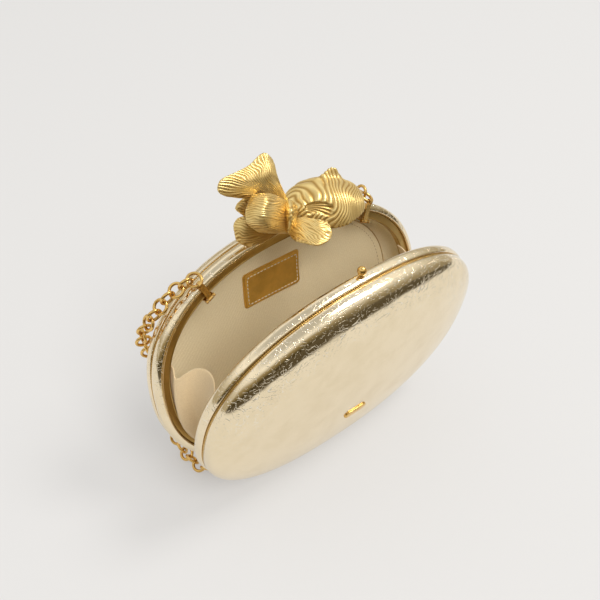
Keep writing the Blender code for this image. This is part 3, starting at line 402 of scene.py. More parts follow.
def loop_tube(path: Grid, radius: float | Grid, sides: int) -> Grid:
    """Rings of a round wire that follows a closed path.

    Args:
        path: Points of the centreline.
        radius: Radius, one number or one per point.
        sides: Number of sides.

    Returns:
        Points, one row per path point.
    """
    tangent = np.roll(path, -1, axis=0) - np.roll(path, 1, axis=0)
    tangent /= np.linalg.norm(tangent, axis=1, keepdims=True)
    no_tangent = np.array([0.13, 0.27, 0.95])
    first = np.cross(tangent, no_tangent)
    first /= np.linalg.norm(first, axis=1, keepdims=True)
    second = np.cross(tangent, first)
    angle = full_turn(sides)[None, :, None]
    size = np.broadcast_to(np.asarray(radius, float), (len(path),))[:, None, None]
    return path[:, None] + size * (np.cos(angle) * first[:, None] + np.sin(angle) * second[:, None])


@dataclass(frozen=True)
class Stitch:
    """Thread stitches of one kind, each a low rounded lozenge."""

    length: float
    gap: float
    half_width: float
    rise: float = 0.0001
    sides: int = 6
    rings: Pairs = ((0.0, 0.25), (0.12, 0.8), (0.5, 1.0), (0.88, 0.8), (1.0, 0.25))

    def lozenge(self, start: Grid, end: Grid, outward: Grid) -> Grid:
        """Points of one stitch, whose rings are given as places along it and shares of its width.

        Args:
            start: First end.
            end: Second end.
            outward: Unit direction away from the cloth.

        Returns:
            Points, rings by sides by 3.
        """
        along = end - start
        length = np.linalg.norm(along)
        along = along / length
        across = np.cross(outward, along)
        angle = full_turn(self.sides)[:, None]
        section = np.cos(angle) * across + np.sin(angle) * outward
        return np.stack([start + along * length * share + outward * self.rise * (size - 0.5)
                         + self.half_width * size * section for share, size in self.rings])

    def row(self, name: str, path: Grid, outward: Grid) -> bpy.types.Object:
        """Sew a row of stitches along a line.

        Args:
            name: Name of the piece.
            path: Points of the line.
            outward: Directions away from the cloth, one per point.

        Returns:
            The row as one piece.
        """
        run = run_of(path)
        count = max(1, round(run[-1] / (self.length + self.gap)))
        pitch = run[-1] / count
        starts = np.arange(count) * pitch + self.gap / 2
        ends = np.arange(1, count + 1) * pitch - self.gap / 2
        places = zip(at_run(path, run, starts), at_run(path, run, ends), at_run(outward, run, starts))
        draft = MeshDraft()
        for start, end, out in places:
            draft.add_grid(self.lozenge(start, end, out / np.linalg.norm(out)), wrap_columns=True,
                           close_first=True, close_last=True)
        return draft.to_object(name)


def rgba(colour: Colour) -> tuple[float, float, float, float]:
    """Colour with full alpha."""
    return (*colour, 1.0)


class NodeSheet:
    """Short calls for laying out a node tree."""

    def __init__(self, tree: bpy.types.NodeTree) -> None:
        """Work on a tree."""
        self.tree = tree

    def node(self, kind: str, **settings: object) -> bpy.types.Node:
        """Add a node and set its properties."""
        node = self.tree.nodes.new(kind)
        for key, value in settings.items():
            setattr(node, key, value)
        return node

    def feed(self, socket: Socket, value: object) -> None:
        """Link a socket, or set its own value."""
        if isinstance(value, bpy.types.NodeSocket):
            self.tree.links.new(value, socket)
        else:
            socket.default_value = value

    def math(self, operation: str, *values: object) -> Socket:
        """Math node over numbers or sockets."""
        node = self.node("ShaderNodeMath", operation=operation)
        for socket, value in zip(node.inputs, values):
            self.feed(socket, value)
        return node.outputs[0]

    def times(self, first: object, second: object) -> Socket:
        """Product of two numbers or sockets."""
        return self.math("MULTIPLY", first, second)

    def plus(self, first: object, second: object) -> Socket:
        """Sum of two numbers or sockets."""
        return self.math("ADD", first, second)

    def minus(self, first: object, second: object) -> Socket:
        """Difference of two numbers or sockets."""
        return self.math("SUBTRACT", first, second)

    def vector(self, operation: str, first: object, second: object) -> Socket:
        """Vector math node."""
        node = self.node("ShaderNodeVectorMath", operation=operation)
        self.feed(node.inputs[0], first)
        self.feed(node.inputs["Scale" if operation == "SCALE" else 1], second)
        return node.outputs[0]

    def noise(self, vector: object, scale: object, detail: float = 2.0, roughness: float = 0.5) -> Socket:
        """Noise texture's value.

        Args:
            vector: Where it is read.
            scale: Its fineness.
            detail: Its octaves.
            roughness: Strength of the finer ones.

        Returns:
            The value.
        """
        node = self.node("ShaderNodeTexNoise")
        values = {"Vector": vector, "Scale": scale, "Detail": detail, "Roughness": roughness}
        for key, value in values.items():
            self.feed(node.inputs[key], value)
        return node.outputs["Fac"]

    def span(self, value: object, low: float, high: float, to_low: float = 0.0,
             to_high: float = 1.0) -> Socket:
        """Map a value from one range to another, smoothly and clamped."""
        node = self.node("ShaderNodeMapRange", interpolation_type="SMOOTHSTEP")
        for socket, number in zip(node.inputs[:5], (value, low, high, to_low, to_high)):
            self.feed(socket, number)
        return node.outputs[0]

    def mix(self, factor: object, first: Colour | Socket, second: Colour | Socket) -> Socket:
        """Mix two colours.

        Args:
            factor: Share of the second.
            first: One colour.
            second: The other.

        Returns:
            The mixed colour.
        """
        node = self.node("ShaderNodeMix", data_type="RGBA")
        self.feed(node.inputs["Factor"], factor)
        for socket, value in zip(node.inputs[6:8], (first, second)):
            self.feed(socket, rgba(value) if isinstance(value, tuple) else value)
        return node.outputs[2]

    def group(self, tree: bpy.types.NodeTree, **values: object) -> bpy.types.NodeOutputs:
        """Place a shared node group with its values, and give its outputs."""
        node = self.node("ShaderNodeGroup", node_tree=tree)
        for key, value in values.items():
            self.feed(node.inputs[key.title()], value)
        return node.outputs


def shared_group(name: str, takes: Sequence[str], gives: Sequence[str]
                 ) -> tuple[NodeSheet, bpy.types.NodeOutputs, bpy.types.NodeInputs]:
    """Start a shader node group that takes a vector and values.

    Args:
        name: Name of the group.
        takes: Names of its value inputs.
        gives: Names of the value outputs.

    Returns:
        The group's sheet, the sockets that bring its inputs, and the sockets that take its outputs.
    """
    tree = bpy.data.node_groups.new(name, "ShaderNodeTree")
    tree.interface.new_socket("Vector", in_out="INPUT", socket_type="NodeSocketVector")
    for key in takes:
        tree.interface.new_socket(key, in_out="INPUT", socket_type="NodeSocketFloat")
    for key in gives:
        tree.interface.new_socket(key, in_out="OUTPUT", socket_type="NodeSocketFloat")
    sheet = NodeSheet(tree)
    return sheet, sheet.node("NodeGroupInput").outputs, sheet.node("NodeGroupOutput").inputs


# Folds in three directions: how the place is squeezed, the noise's scale, and the width of its lines.
CREASE_FIELDS = (
    ((1.0, 1.0, 0.35), 0.55, 0.010),
    ((0.3, 1.0, 1.0), 0.85, 0.012),
    ((1.0, 0.6, 1.0), 1.7, 0.020),
)
LINE_DEPTH_SHARE = 0.42
SWELL_SCALE_SHARE = 0.40


def crease_group() -> bpy.types.NodeTree:
    """Fine creases of foil on leather: broken lines where the skin was folded, and where they lie.

    Returns:
        The node group.
    """
    sheet, source, sink = shared_group("foil_creases", ("Scale", "Spread"), ("Height", "Lines"))
    place = sheet.vector("SCALE", source["Vector"], source["Scale"])
    total = None
    for squeeze, size, width in CREASE_FIELDS:
        field_noise = sheet.noise(sheet.vector("MULTIPLY", place, squeeze), size, 1.5, 0.45)
        away = sheet.math("ABSOLUTE", sheet.minus(field_noise, 0.5))
        line = sheet.span(away, 0.0, width, 1.0, 0.0)
        broken = sheet.span(sheet.noise(place, 0.9 + size), 0.46, 0.55)
        line = sheet.times(line, broken)
        total = line if total is None else sheet.math("MAXIMUM", total, line)
    lines = sheet.times(total, source["Spread"])
    swell = sheet.noise(source["Vector"], sheet.times(source["Scale"], SWELL_SCALE_SHARE), 3.0, 0.6)
    height = sheet.minus(sheet.times(swell, source["Spread"]), sheet.times(lines, LINE_DEPTH_SHARE))
    sheet.feed(sink["Height"], height)
    sheet.feed(sink["Lines"], lines)
    return sheet.tree


def grain_group() -> bpy.types.NodeTree:
    """Fine grain of leather or cast metal: a coarse noise with a finer one in it.

    Returns:
        The node group.
    """
    sheet, source, sink = shared_group("fine_grain", ("Scale",), ("Height",))
    coarse = sheet.noise(source["Vector"], source["Scale"], 3.0, 0.6)
    fine = sheet.noise(source["Vector"], sheet.times(source["Scale"], 2.7))
    sheet.feed(sink["Height"], sheet.plus(sheet.times(coarse, 0.7), sheet.times(fine, 0.3)))
    return sheet.tree


def wear_group() -> bpy.types.NodeTree:
    """Cloudy handling marks and hairline scratches on metal.

    Returns:
        The node group.
    """
    sheet, source, sink = shared_group("handling_wear", ("Scale",), ("Cloud", "Scratch"))
    cloud = sheet.span(sheet.noise(source["Vector"], source["Scale"], 4.0, 0.6), 0.35, 0.7)
    drawn_out = sheet.vector("MULTIPLY", source["Vector"], (1.0, 0.08, 1.0))
    hairs = sheet.noise(drawn_out, sheet.times(source["Scale"], 16.0), 1.0, 0.4)
    sheet.feed(sink["Cloud"], cloud)
    sheet.feed(sink["Scratch"], sheet.span(hairs, 0.60, 0.66))
    return sheet.tree


def weave_group() -> bpy.types.NodeTree:
    """Twill: fine diagonal ribs with a thread's crossing beat, over surface coordinates in metres.

    Returns:
        The node group.
    """
    sheet, source, sink = shared_group("twill_weave", ("Pitch",), ("Height", "Threads"))
    split = sheet.node("ShaderNodeSeparateXYZ")
    sheet.feed(split.inputs[0], source["Vector"])
    turn = sheet.math("DIVIDE", 2 * math.pi, source["Pitch"])
    wobble = sheet.times(sheet.noise(source["Vector"], 300.0), 0.00035)
    diagonal = sheet.plus(sheet.plus(split.outputs[0], split.outputs[1]), wobble)
    rib = sheet.math("SINE", sheet.times(diagonal, turn))
    beat = sheet.math("SINE", sheet.times(split.outputs[1], sheet.times(turn, 1.4)))
    height = sheet.plus(sheet.times(rib, 0.35), sheet.times(beat, 0.15))
    slub = sheet.noise(source["Vector"], 900.0, 3.0, 0.7)
    sheet.feed(sink["Height"], sheet.plus(height, 0.5))
    sheet.feed(sink["Threads"], sheet.plus(height, slub))
    return sheet.tree


@dataclass(frozen=True)
class Effects:
    """The node groups that several finishes share."""

    creases: bpy.types.NodeTree
    grain: bpy.types.NodeTree
    wear: bpy.types.NodeTree
    weave: bpy.types.NodeTree


class FinishSheet(NodeSheet):
    """Sheet of one finish, with its shader's inputs, the object coordinates and the shared node groups."""

    def __init__(self, material: bpy.types.Material, effects: Effects) -> None:
        """Work on a material that has its Principled shader."""
        super().__init__(material.node_tree)
        self.effects = effects
        self.shader = material.node_tree.nodes["Principled BSDF"].inputs
        self.place = self.node("ShaderNodeTexCoord").outputs["Object"]

    def bump(self, height: Socket, depth: float) -> None:
        """Feed a height to the shader's normal."""
        node = self.node("ShaderNodeBump")
        self.feed(node.inputs["Distance"], depth)
        self.feed(node.inputs["Height"], height)
        self.feed(self.shader["Normal"], node.outputs[0])


class FinishName(Enum):
    """The finishes on the bag, by the names of their materials."""

    FOIL = "foil_leather"
    BRASS = "antique_brass"
    GOLD = "polished_gold"
    CAST_GOLD = "cast_gold"
    LINING = "beige_twill"
    GUSSET = "cream_twill"
    LABEL = "label_leather"
    THREAD = "cream_thread"
    TAN_THREAD = "tan_thread"


@dataclass(frozen=True)
class Finish:
    """Start of every finish: its name, the record's slot and its colour, on a fresh Principled shader."""

    name: FinishName
    slot: str
    base: Colour

    def tinted(self, shares: Colour) -> Colour:
        """The base colour with each channel at a share of itself."""
        red, green, blue = (value * share for value, share in zip(self.base, shares))
        return red, green, blue

    def build(self, effects: Effects) -> bpy.types.Material:
        """Make the finish's material with the shared node groups.

        Args:
            effects: The shared groups.

        Returns:
            The material.
        """
        material = bpy.data.materials.new(self.name.value)
        material.use_nodes = True
        material.diffuse_color = rgba(self.base)
        sheet = FinishSheet(material, effects)
        sheet.feed(sheet.shader["Base Color"], rgba(self.base))
        self.lay_out(sheet)
        return material

    def lay_out(self, sheet: FinishSheet) -> None:
        """Lay out the finish's nodes."""
        raise NotImplementedError


@dataclass(frozen=True)
class FoilLeather(Finish):
    """Champagne foil on leather: mirror-bright, finely grained, and creased where the piece says so."""

    satin: float = 0.20
    polish: float = 0.11
    polished_from: float = 0.55
    crease_scale: float = 190.0
    crease_depth: float = 0.00015
    line_tint: float = 0.55
    line_rough: float = 0.14
    line_colour: Colour = (0.95, 0.92, 0.84)
    grain_scale: float = 1500.0
    grain_share: float = 0.06
    cloud_scale: float = 60.0
    worn_tint: float = 0.35
    worn_shares: Colour = (0.86, 0.82, 0.72)

    def lay_out(self, sheet: FinishSheet) -> None:
        """Lay out the finish's nodes.

        Args:
            sheet: The finish's sheet.
        """
        mask = sheet.node("ShaderNodeAttribute", attribute_name="crease").outputs["Fac"]
        crease = sheet.group(sheet.effects.creases, vector=sheet.place, scale=self.crease_scale, spread=mask)
        grain = sheet.group(sheet.effects.grain, vector=sheet.place, scale=self.grain_scale)
        height = sheet.plus(crease["Height"], sheet.times(grain["Height"], self.grain_share))
        sheet.bump(height, self.crease_depth)
        cloud = sheet.noise(sheet.place, self.cloud_scale, 3.0, 0.6)
        worn = sheet.span(cloud, 0.35, 0.75, 0.0, self.worn_tint)
        worn = sheet.mix(worn, self.base, self.tinted(self.worn_shares))
        tint = sheet.mix(sheet.times(crease["Lines"], self.line_tint), worn, self.line_colour)
        sheet.feed(sheet.shader["Base Color"], tint)
        polish = sheet.span(mask, 0.0, self.polished_from, self.satin, self.polish)
        marks = sheet.plus(sheet.span(cloud, 0.3, 0.8, -0.02, 0.05),
                           sheet.times(crease["Lines"], self.line_rough))
        sheet.feed(sheet.shader["Roughness"], sheet.plus(polish, marks))
        sheet.feed(sheet.shader["Metallic"], 1.0)


@dataclass(frozen=True)
class Metal(Finish):
    """Plated metal with clouds of wear, and a darker tone where the patina field says so: patina, and on some
    fins painted shade.
    """

    roughness: float = 0.22
    shine: float = 1.0
    wear_scale: float = 110.0
    wear_tint: float = 0.25
    wear_rough: float = 0.12
    worn_shares: Colour = (0.8, 0.72, 0.55)
    scratch_rough: float = 0.08
    patina: Colour = (0.25, 0.12, 0.02)
    patina_tint: float = 0.8
    patina_rough: float = 0.15
    grain_scale: float = 1300.0
    grain_depth: float = 0.00002

    def lay_out(self, sheet: FinishSheet) -> None:
        """Lay out the finish's nodes.

        Args:
            sheet: The finish's sheet.
        """
        wear = sheet.group(sheet.effects.wear, vector=sheet.place, scale=self.wear_scale)
        grain = sheet.group(sheet.effects.grain, vector=sheet.place, scale=self.grain_scale)
        # The patina field holds real patina in grooves, and on some goldfish fins painted shade toward the
        # root.
        groove = sheet.node("ShaderNodeAttribute", attribute_name="patina").outputs["Fac"]
        aged = sheet.mix(sheet.times(wear["Cloud"], self.wear_tint), self.base, self.tinted(self.worn_shares))
        shade = sheet.mix(sheet.times(groove, self.patina_tint), aged, self.patina)
        sheet.feed(sheet.shader["Base Color"], shade)
        rough = sheet.span(wear["Cloud"], 0.0, 1.0, self.roughness, self.roughness + self.wear_rough)
        marks = sheet.plus(sheet.times(wear["Scratch"], self.scratch_rough),
                           sheet.times(groove, self.patina_rough))
        sheet.feed(sheet.shader["Roughness"], sheet.plus(rough, marks))
        sheet.bump(grain["Height"], self.grain_depth)
        sheet.feed(sheet.shader["Metallic"], self.shine)


@dataclass(frozen=True)
class Twill(Finish):
    """Matt woven cloth, over surface coordinates in metres."""

    pitch: float = 0.0007
    dark: Colour = (0.55, 0.42, 0.26)
    dark_share: float = 0.70
    depth: float = 0.00012
    cloud_scale: float = 120.0
    sheen: float = 0.25
    sheen_roughness: float = 0.5

    def lay_out(self, sheet: FinishSheet) -> None:
        """Lay out the finish's nodes.

        Args:
            sheet: The finish's sheet.
        """
        surface = sheet.node("ShaderNodeUVMap", uv_map="surface").outputs[0]
        weave = sheet.group(sheet.effects.weave, vector=surface, pitch=self.pitch)
        threads = sheet.span(weave["Threads"], 0.10, 0.95, self.dark_share, 0.0)
        sheet.feed(sheet.shader["Base Color"], sheet.mix(threads, self.base, self.dark))
        sheet.bump(weave["Height"], self.depth)
        cloud = sheet.noise(sheet.place, self.cloud_scale)
        sheet.feed(sheet.shader["Roughness"], sheet.span(cloud, 0.3, 0.7, 0.78, 0.92))
        sheet.feed(sheet.shader["Sheen Weight"], self.sheen)
        sheet.feed(sheet.shader["Sheen Roughness"], self.sheen_roughness)


@dataclass(frozen=True)
class LabelLeather(Finish):
    """Brown-gold metallic leather with a soft pebble."""

    pebble_scale: float = 700.0
    pebble_depth: float = 0.00012
    wear_scale: float = 70.0
    wear_tint: float = 0.5
    worn_shares: Colour = (0.62, 0.58, 0.5)
    shine: float = 0.75

    def lay_out(self, sheet: FinishSheet) -> None:
        """Lay out the finish's nodes.

        Args:
            sheet: The finish's sheet.
        """
        grain = sheet.group(sheet.effects.grain, vector=sheet.place, scale=self.pebble_scale)
        wear = sheet.group(sheet.effects.wear, vector=sheet.place, scale=self.wear_scale)
        worn = sheet.times(wear["Cloud"], self.wear_tint)
        sheet.feed(sheet.shader["Base Color"], sheet.mix(worn, self.base, self.tinted(self.worn_shares)))
        sheet.feed(sheet.shader["Roughness"], sheet.span(grain["Height"], 0.3, 0.7, 0.34, 0.5))
        sheet.bump(grain["Height"], self.pebble_depth)
        sheet.feed(sheet.shader["Metallic"], self.shine)


@dataclass(frozen=True)
class Thread(Finish):
    """Sewing thread with the twist of its plies."""

    twist_scale: float = 700.0
    twist_depth: float = 0.00005
    twist_tint: float = 0.3
    twist_shares: Colour = (0.7, 0.64, 0.5)
    roughness: float = 0.6

    def lay_out(self, sheet: FinishSheet) -> None:
        """Lay out the finish's nodes.

        Args:
            sheet: The finish's sheet.
        """
        twist = sheet.node("ShaderNodeTexWave", bands_direction="DIAGONAL")
        sheet.feed(twist.inputs["Scale"], self.twist_scale)
        sheet.feed(twist.inputs["Vector"], sheet.place)
        plies = sheet.times(twist.outputs["Fac"], self.twist_tint)
        sheet.feed(sheet.shader["Base Color"], sheet.mix(plies, self.base, self.tinted(self.twist_shares)))
        sheet.bump(twist.outputs["Fac"], self.twist_depth)
        sheet.feed(sheet.shader["Roughness"], self.roughness)


FINISHES = (
    FoilLeather(FinishName.FOIL, "foil_leather", (0.930, 0.800, 0.570)),
    Metal(FinishName.BRASS, "brass", (0.50, 0.33, 0.11), roughness=0.28),
    Metal(FinishName.GOLD, "gold", (0.85, 0.56, 0.19), roughness=0.18),
    Metal(FinishName.CAST_GOLD, "gold", (0.98, 0.76, 0.33), roughness=0.29, shine=0.92, grain_depth=0.000004,
          patina=(0.40, 0.20, 0.025)),
    Twill(FinishName.LINING, "lining", (0.97, 0.85, 0.58), pitch=0.00095, dark=(0.66, 0.52, 0.29),
          depth=0.00020),
    Twill(FinishName.GUSSET, "gusset", (0.88, 0.69, 0.42), pitch=0.0006, dark=(0.66, 0.48, 0.26)),
    LabelLeather(FinishName.LABEL, "label_leather", (0.84, 0.52, 0.12)),
    Thread(FinishName.THREAD, "gusset", (0.90, 0.82, 0.60)),
    Thread(FinishName.TAN_THREAD, "lining", (0.46, 0.31, 0.14)),
)


class Wardrobe:
    """Builds every finish once and dresses pieces with them."""

    def __init__(self) -> None:
        """Make the shared effects and the finishes."""
        effects = Effects(crease_group(), grain_group(), wear_group(), weave_group())
        self.materials = {finish.name: finish.build(effects) for finish in FINISHES}
        self.slots = {finish.name: finish.slot for finish in FINISHES}
        self.count = 0

    def redress(self, item: bpy.types.Object, finish: FinishName) -> None:
        """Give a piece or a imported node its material."""
        item.data.materials.clear()
        item.data.materials.append(self.materials[finish])
        LOG.info("%s in %s", item.name, finish.value)

    def dress(self, item: bpy.types.Object, finish: FinishName, body: str | None,
              *nodes: str) -> bpy.types.Object:
        """Give a piece its finish, its body and the nodes that it stands for.

        Args:
            item: The piece.
            finish: Which finish.
            body: Body that it rides on, or None where it is left without one.
            nodes: Nodes that it replaces.

        Returns:
            The piece.
        """
        self.redress(item, finish)
        if body is not None:
            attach(item, body)
        if nodes:
            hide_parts(*nodes)
        self.count += 1
        return item

    def make(self, draft: MeshDraft, name: str, finish: FinishName, body: str | None,
             *nodes: str) -> bpy.types.Object:
        """Make a closed piece from its draft and dress it."""
        return self.dress(draft.to_object(name, outward=True), finish, body, *nodes)


@dataclass
class Shell:
    """One shell: crowned panel, leather rim band, piping, brass frame and lining."""

    side: Side
    wardrobe: Wardrobe
    columns: int = 288
    dome_steps: int = 3000
    dome_stretch: float = 1.2
    panel_rows: int = 72
    panel_wall: float = 0.0012
    turn_in: float = 0.0022
    turn_in_drop: float = 0.0001
    turn_in_shares: tuple[float, ...] = (1.0, 0.5, 0.12)
    shoulder_share: float = 0.62
    shoulder_ease: float = 0.25
    ripple: float = 0.00010
    ripple_scale: float = 55.0
    band_ripple: float = 0.00006
    band_ripple_scale: float = 90.0
    band_rows: int = 44
    piping_radius: float = 0.00062
    piping_inset: float = 0.0017
    piping_sides: int = 7
    cord_turns: int = 420
    cord_twist_share: float = 0.16
    relief_half: float = 0.0022
    relief_ease: float = 0.0008
    relief_reach: float = 0.0070
    relief_depth: float = 0.0011
    # Section of the wrapped band: shares of its thickness from the rim's outline, and of its depth.
    band_profile: Pairs = (
        (1.0, 0.10), (0.84, 0.0), (0.62, 0.02), (0.42, 0.06), (0.25, 0.14), (0.13, 0.24), (0.04, 0.36),
        (0.0, 0.50), (0.01, 0.66), (0.06, 0.82), (0.14, 0.93), (0.26, 0.99), (0.50, 1.0), (1.0, 1.0))
    flange_face: float = 0.0018
    flange_back: float = 0.0027
    lip_wall: float = 0.0010
    # Rolled inner edge of the frame: steps back from its inner edge, and depths.
    frame_roll: Pairs = (
        (0.0009, 0.0018), (0.0006, 0.0015), (0.00025, 0.00145), (0.00005, 0.0017), (0.0, 0.0021),
        (0.0, 0.0036), (0.0002, 0.0038), (0.0, 0.0040))
    frame_edge: float = 0.00012
    lining_rows: int = 44
    lining_wall: float = 0.0006
    # Hem of the lining: steps in from its edge, and depths past the frame's lip.
    hem: Pairs = ((0.0009, 0.0004), (0.0005, 0.0011), (0.0002, 0.0023))
    floor_clearance: float = 0.00003
    oval: Grid = field(init=False)

    def __post_init__(self) -> None:
        """Work out the oval once."""
        self.oval = unit_oval(self.columns)

    @property
    def word(self) -> str:
        """Name of the side."""
        return self.side.word

    def ring(self, inset: float, depth: float, share: float = 1.0) -> Grid:
        """Ring of the oval in the shell's frame, before it is placed.

        Args:
            inset: Inset from the rim's outline.
            depth: Depth into the shell.
            share: Share of the inset oval's size.

        Returns:
            Points, one per column.
        """
        x = self.oval[:, 0] * (BAG.half_length - inset) * share
        z = self.oval[:, 1] * (BAG.half_height - inset) * share + BAG.hinge_to_centre
        return np.stack([x, np.full_like(x, depth), z], axis=1)

    def rings(self, steps: Sequence[Sequence[float]]) -> Grid:
        """Rings at several insets and depths, and shares where they are given."""
        return np.stack([self.ring(*step) for step in steps])

    def place(self, grid: Grid) -> Grid:
        """Mirror a front piece and set it in the part, never below the floor."""
        grid = placed(grid * np.array([1.0, self.side.value, 1.0]), BAG.matrix(self.side))
        grid[..., 2] = np.maximum(grid[..., 2], self.floor_clearance)
        return grid

    def finish(self, draft: MeshDraft, name: str, finish: FinishName, node: str) -> bpy.types.Object:
        """Make a piece of this shell from its draft, in place of a node of the same side."""
        return self.wardrobe.make(draft, f"{self.word}_{name}", finish, self.side.body, f"{self.word}_{node}")

    def dome(self, inset: float, edge: float, top: float, rows: int) -> tuple[Grid, Grid]:
        """Grid of a crowned form from its edge to near its middle.

        Args:
            inset: Inset of its edge from the rim's outline.
            edge: Depth of its edge.
            top: Depth of its middle.
            rows: Evenly spaced points from its edge to its middle, of which the middle one is left out.

        Returns:
            The grid, and each row's share of the outline.
        """
        share = np.sin(np.linspace(math.pi / 2, 0.0, self.dome_steps))
        reach = (BAG.half_height - inset) * self.dome_stretch
        even = spaced(np.stack([share * reach, crown(share, edge, top)], axis=1), rows)[:-1]
        shares = even[:, 0] / reach
        return self.rings([(inset, depth, share) for share, depth in zip(shares, even[:, 1])]), shares

    def panel(self) -> None:
        """The crowned outer panel, slightly rippled where the skin was drawn over its shoulder."""
        grid, share = self.dome(BAG.panel_inset, BAG.panel_edge_depth, BAG.crown_depth, self.panel_rows)
        upper = np.clip((grid[..., 2] - BAG.hinge_to_centre) / BAG.half_height, -1.0, 1.0)
        shoulder = np.clip((share[:, None] - self.shoulder_share) / self.shoulder_ease, 0.0, 1.0)
        high = np.clip(upper * 1.6 + 0.25, 0.05, 1.0)
        crease = shoulder * shoulder * (3 - 2 * shoulder) * high
        fade = np.clip((1.0 - share[:, None]) * 60.0, 0.0, 1.0)
        grid = rippled(grid, self.ripple_scale, 3, self.ripple * (0.15 + crease) * fade)
        edge_depth = BAG.panel_edge_depth - self.turn_in_drop
        turned = self.rings([(BAG.panel_inset + self.turn_in * step, edge_depth)
                             for step in self.turn_in_shares])
        grid = np.concatenate([turned, grid])
        crease = np.concatenate([np.repeat(crease[:1], len(turned), axis=0), crease])
        draft = MeshDraft()
        draft.add_grid(self.place(grid), wrap_columns=True, close_last=True, crease=crease)
        wall(self.finish(draft, "panel_skin", FinishName.FOIL, "panel"), self.panel_wall)

    def relieve(self, grid: Grid) -> None:
        """Dent the front band's mouth edge where a lug's tab lies when the bag is shut.

        Args:
            grid: The band's points, changed in place.
        """
        step = 0.0001
        for sign in (-1, 1):
            x = sign * BAG.lug_x
            height, before, after = (oval_height(BAG.half_length, BAG.half_height, x + shift)
                                     for shift in (0.0, -step, step))
            along = np.array([1.0, (after - before) / (2 * step)])
            along /= np.linalg.norm(along)
            outward = np.array([-along[1], along[0]])
            place = grid[..., ::2] - np.array([x, BAG.hinge_to_centre + height])
            edge = self.relief_half + self.relief_ease
            near = np.clip((edge - np.abs(place @ along)) / self.relief_ease, 0.0, 1.0)
            near *= np.abs(place @ outward) < self.relief_reach
            grid[..., 1] = np.maximum(grid[..., 1], near * self.relief_depth)

    def band(self) -> None:
        """The leather-wrapped rim band."""
        grid = self.rings([(inset * BAG.band_thickness, BAG.mouth_gap + depth * BAG.band_depth)
                           for inset, depth in smooth_rows(self.band_profile, self.band_rows)])
        grid = rippled(grid, self.band_ripple_scale, 2, self.band_ripple)
        if self.side is Side.FRONT:
            self.relieve(grid)
        high = np.clip((grid[..., 2] - BAG.hinge_to_centre) / BAG.half_height * 0.8 + 0.45, 0.12, 0.75)
        draft = MeshDraft()
        draft.add_grid(self.place(grid), wrap_columns=True, wrap_rows=True, crease=high)
        self.finish(draft, "rim_wrap", FinishName.FOIL, "rim_band")

    def piping(self) -> None:
        """Twisted metal cord in the groove between band and panel."""
        depth = (BAG.mouth_gap + BAG.band_depth + BAG.panel_edge_depth) / 2
        path = spaced(self.ring(self.piping_inset, depth), 5 * self.columns, closed=True)
        twist = full_turn(len(path), self.cord_turns)
        radius = self.piping_radius * (1.0 + self.cord_twist_share * np.sin(twist))
        draft = MeshDraft()
        cord = self.place(loop_tube(path, radius, self.piping_sides))
        grooves = np.repeat((0.5 - 0.5 * np.sin(twist))[:, None], self.piping_sides, axis=1)
        draft.add_grid(cord, wrap_columns=True, wrap_rows=True, patina=grooves)
        self.finish(draft, "piping_cord", FinishName.GOLD, "piping")

    def mouth_frame(self) -> None:
        """The brass frame: a flange facing the mouth with a rolled inner edge and a lip into the shell."""
        outer = BAG.band_thickness + BAG.fit_gap
        inner = outer + BAG.frame_width
        section = [(outer, self.flange_face), *((inner - back, depth) for back, depth in self.frame_roll),
                   (inner, BAG.lip_depth), (inner - self.lip_wall, BAG.lip_depth),
                   (inner - self.lip_wall, self.flange_back), (outer, self.flange_back)]
        draft = MeshDraft()
        draft.add_grid(self.place(self.rings(section)), wrap_columns=True, wrap_rows=True)
        frame = self.finish(draft, "brass_frame", FinishName.BRASS, "mouth_frame")
        soften(frame, self.frame_edge, 2, math.radians(30.0))

    def lining(self) -> None:
        """The twill lining, turned to a small hem under the frame's lip."""
        grid, _ = self.dome(BAG.lining_inset, BAG.lining_edge_depth, BAG.lining_top, self.lining_rows)
        hem = self.rings([(BAG.lining_inset + inset, BAG.lip_depth + depth) for inset, depth in self.hem])
        grid = np.concatenate([hem, grid])
        draft = MeshDraft()
        draft.add_grid(self.place(grid), wrap_columns=True, close_last=True, uv=grid[..., [0, 2]])
        wall(self.finish(draft, "lining_cloth", FinishName.LINING, "lining"), self.lining_wall)

    def build(self) -> None:
        """Build all of the shell's pieces."""
        self.panel()
        self.band()
        self.piping()
        self.mouth_frame()
        self.lining()


def on_crown(x: Grid, z: Grid, inset: float, edge: float, top: float) -> Grid:
    """Depth of a crowned form over points about the oval's centre."""
    x, z = np.abs(x) / (BAG.half_length - inset), np.abs(z) / (BAG.half_height - inset)
    share = (x ** BAG.oval_power + z ** BAG.oval_power) ** (1 / BAG.oval_power)
    return crown(np.minimum(share, 1.0), edge, top)


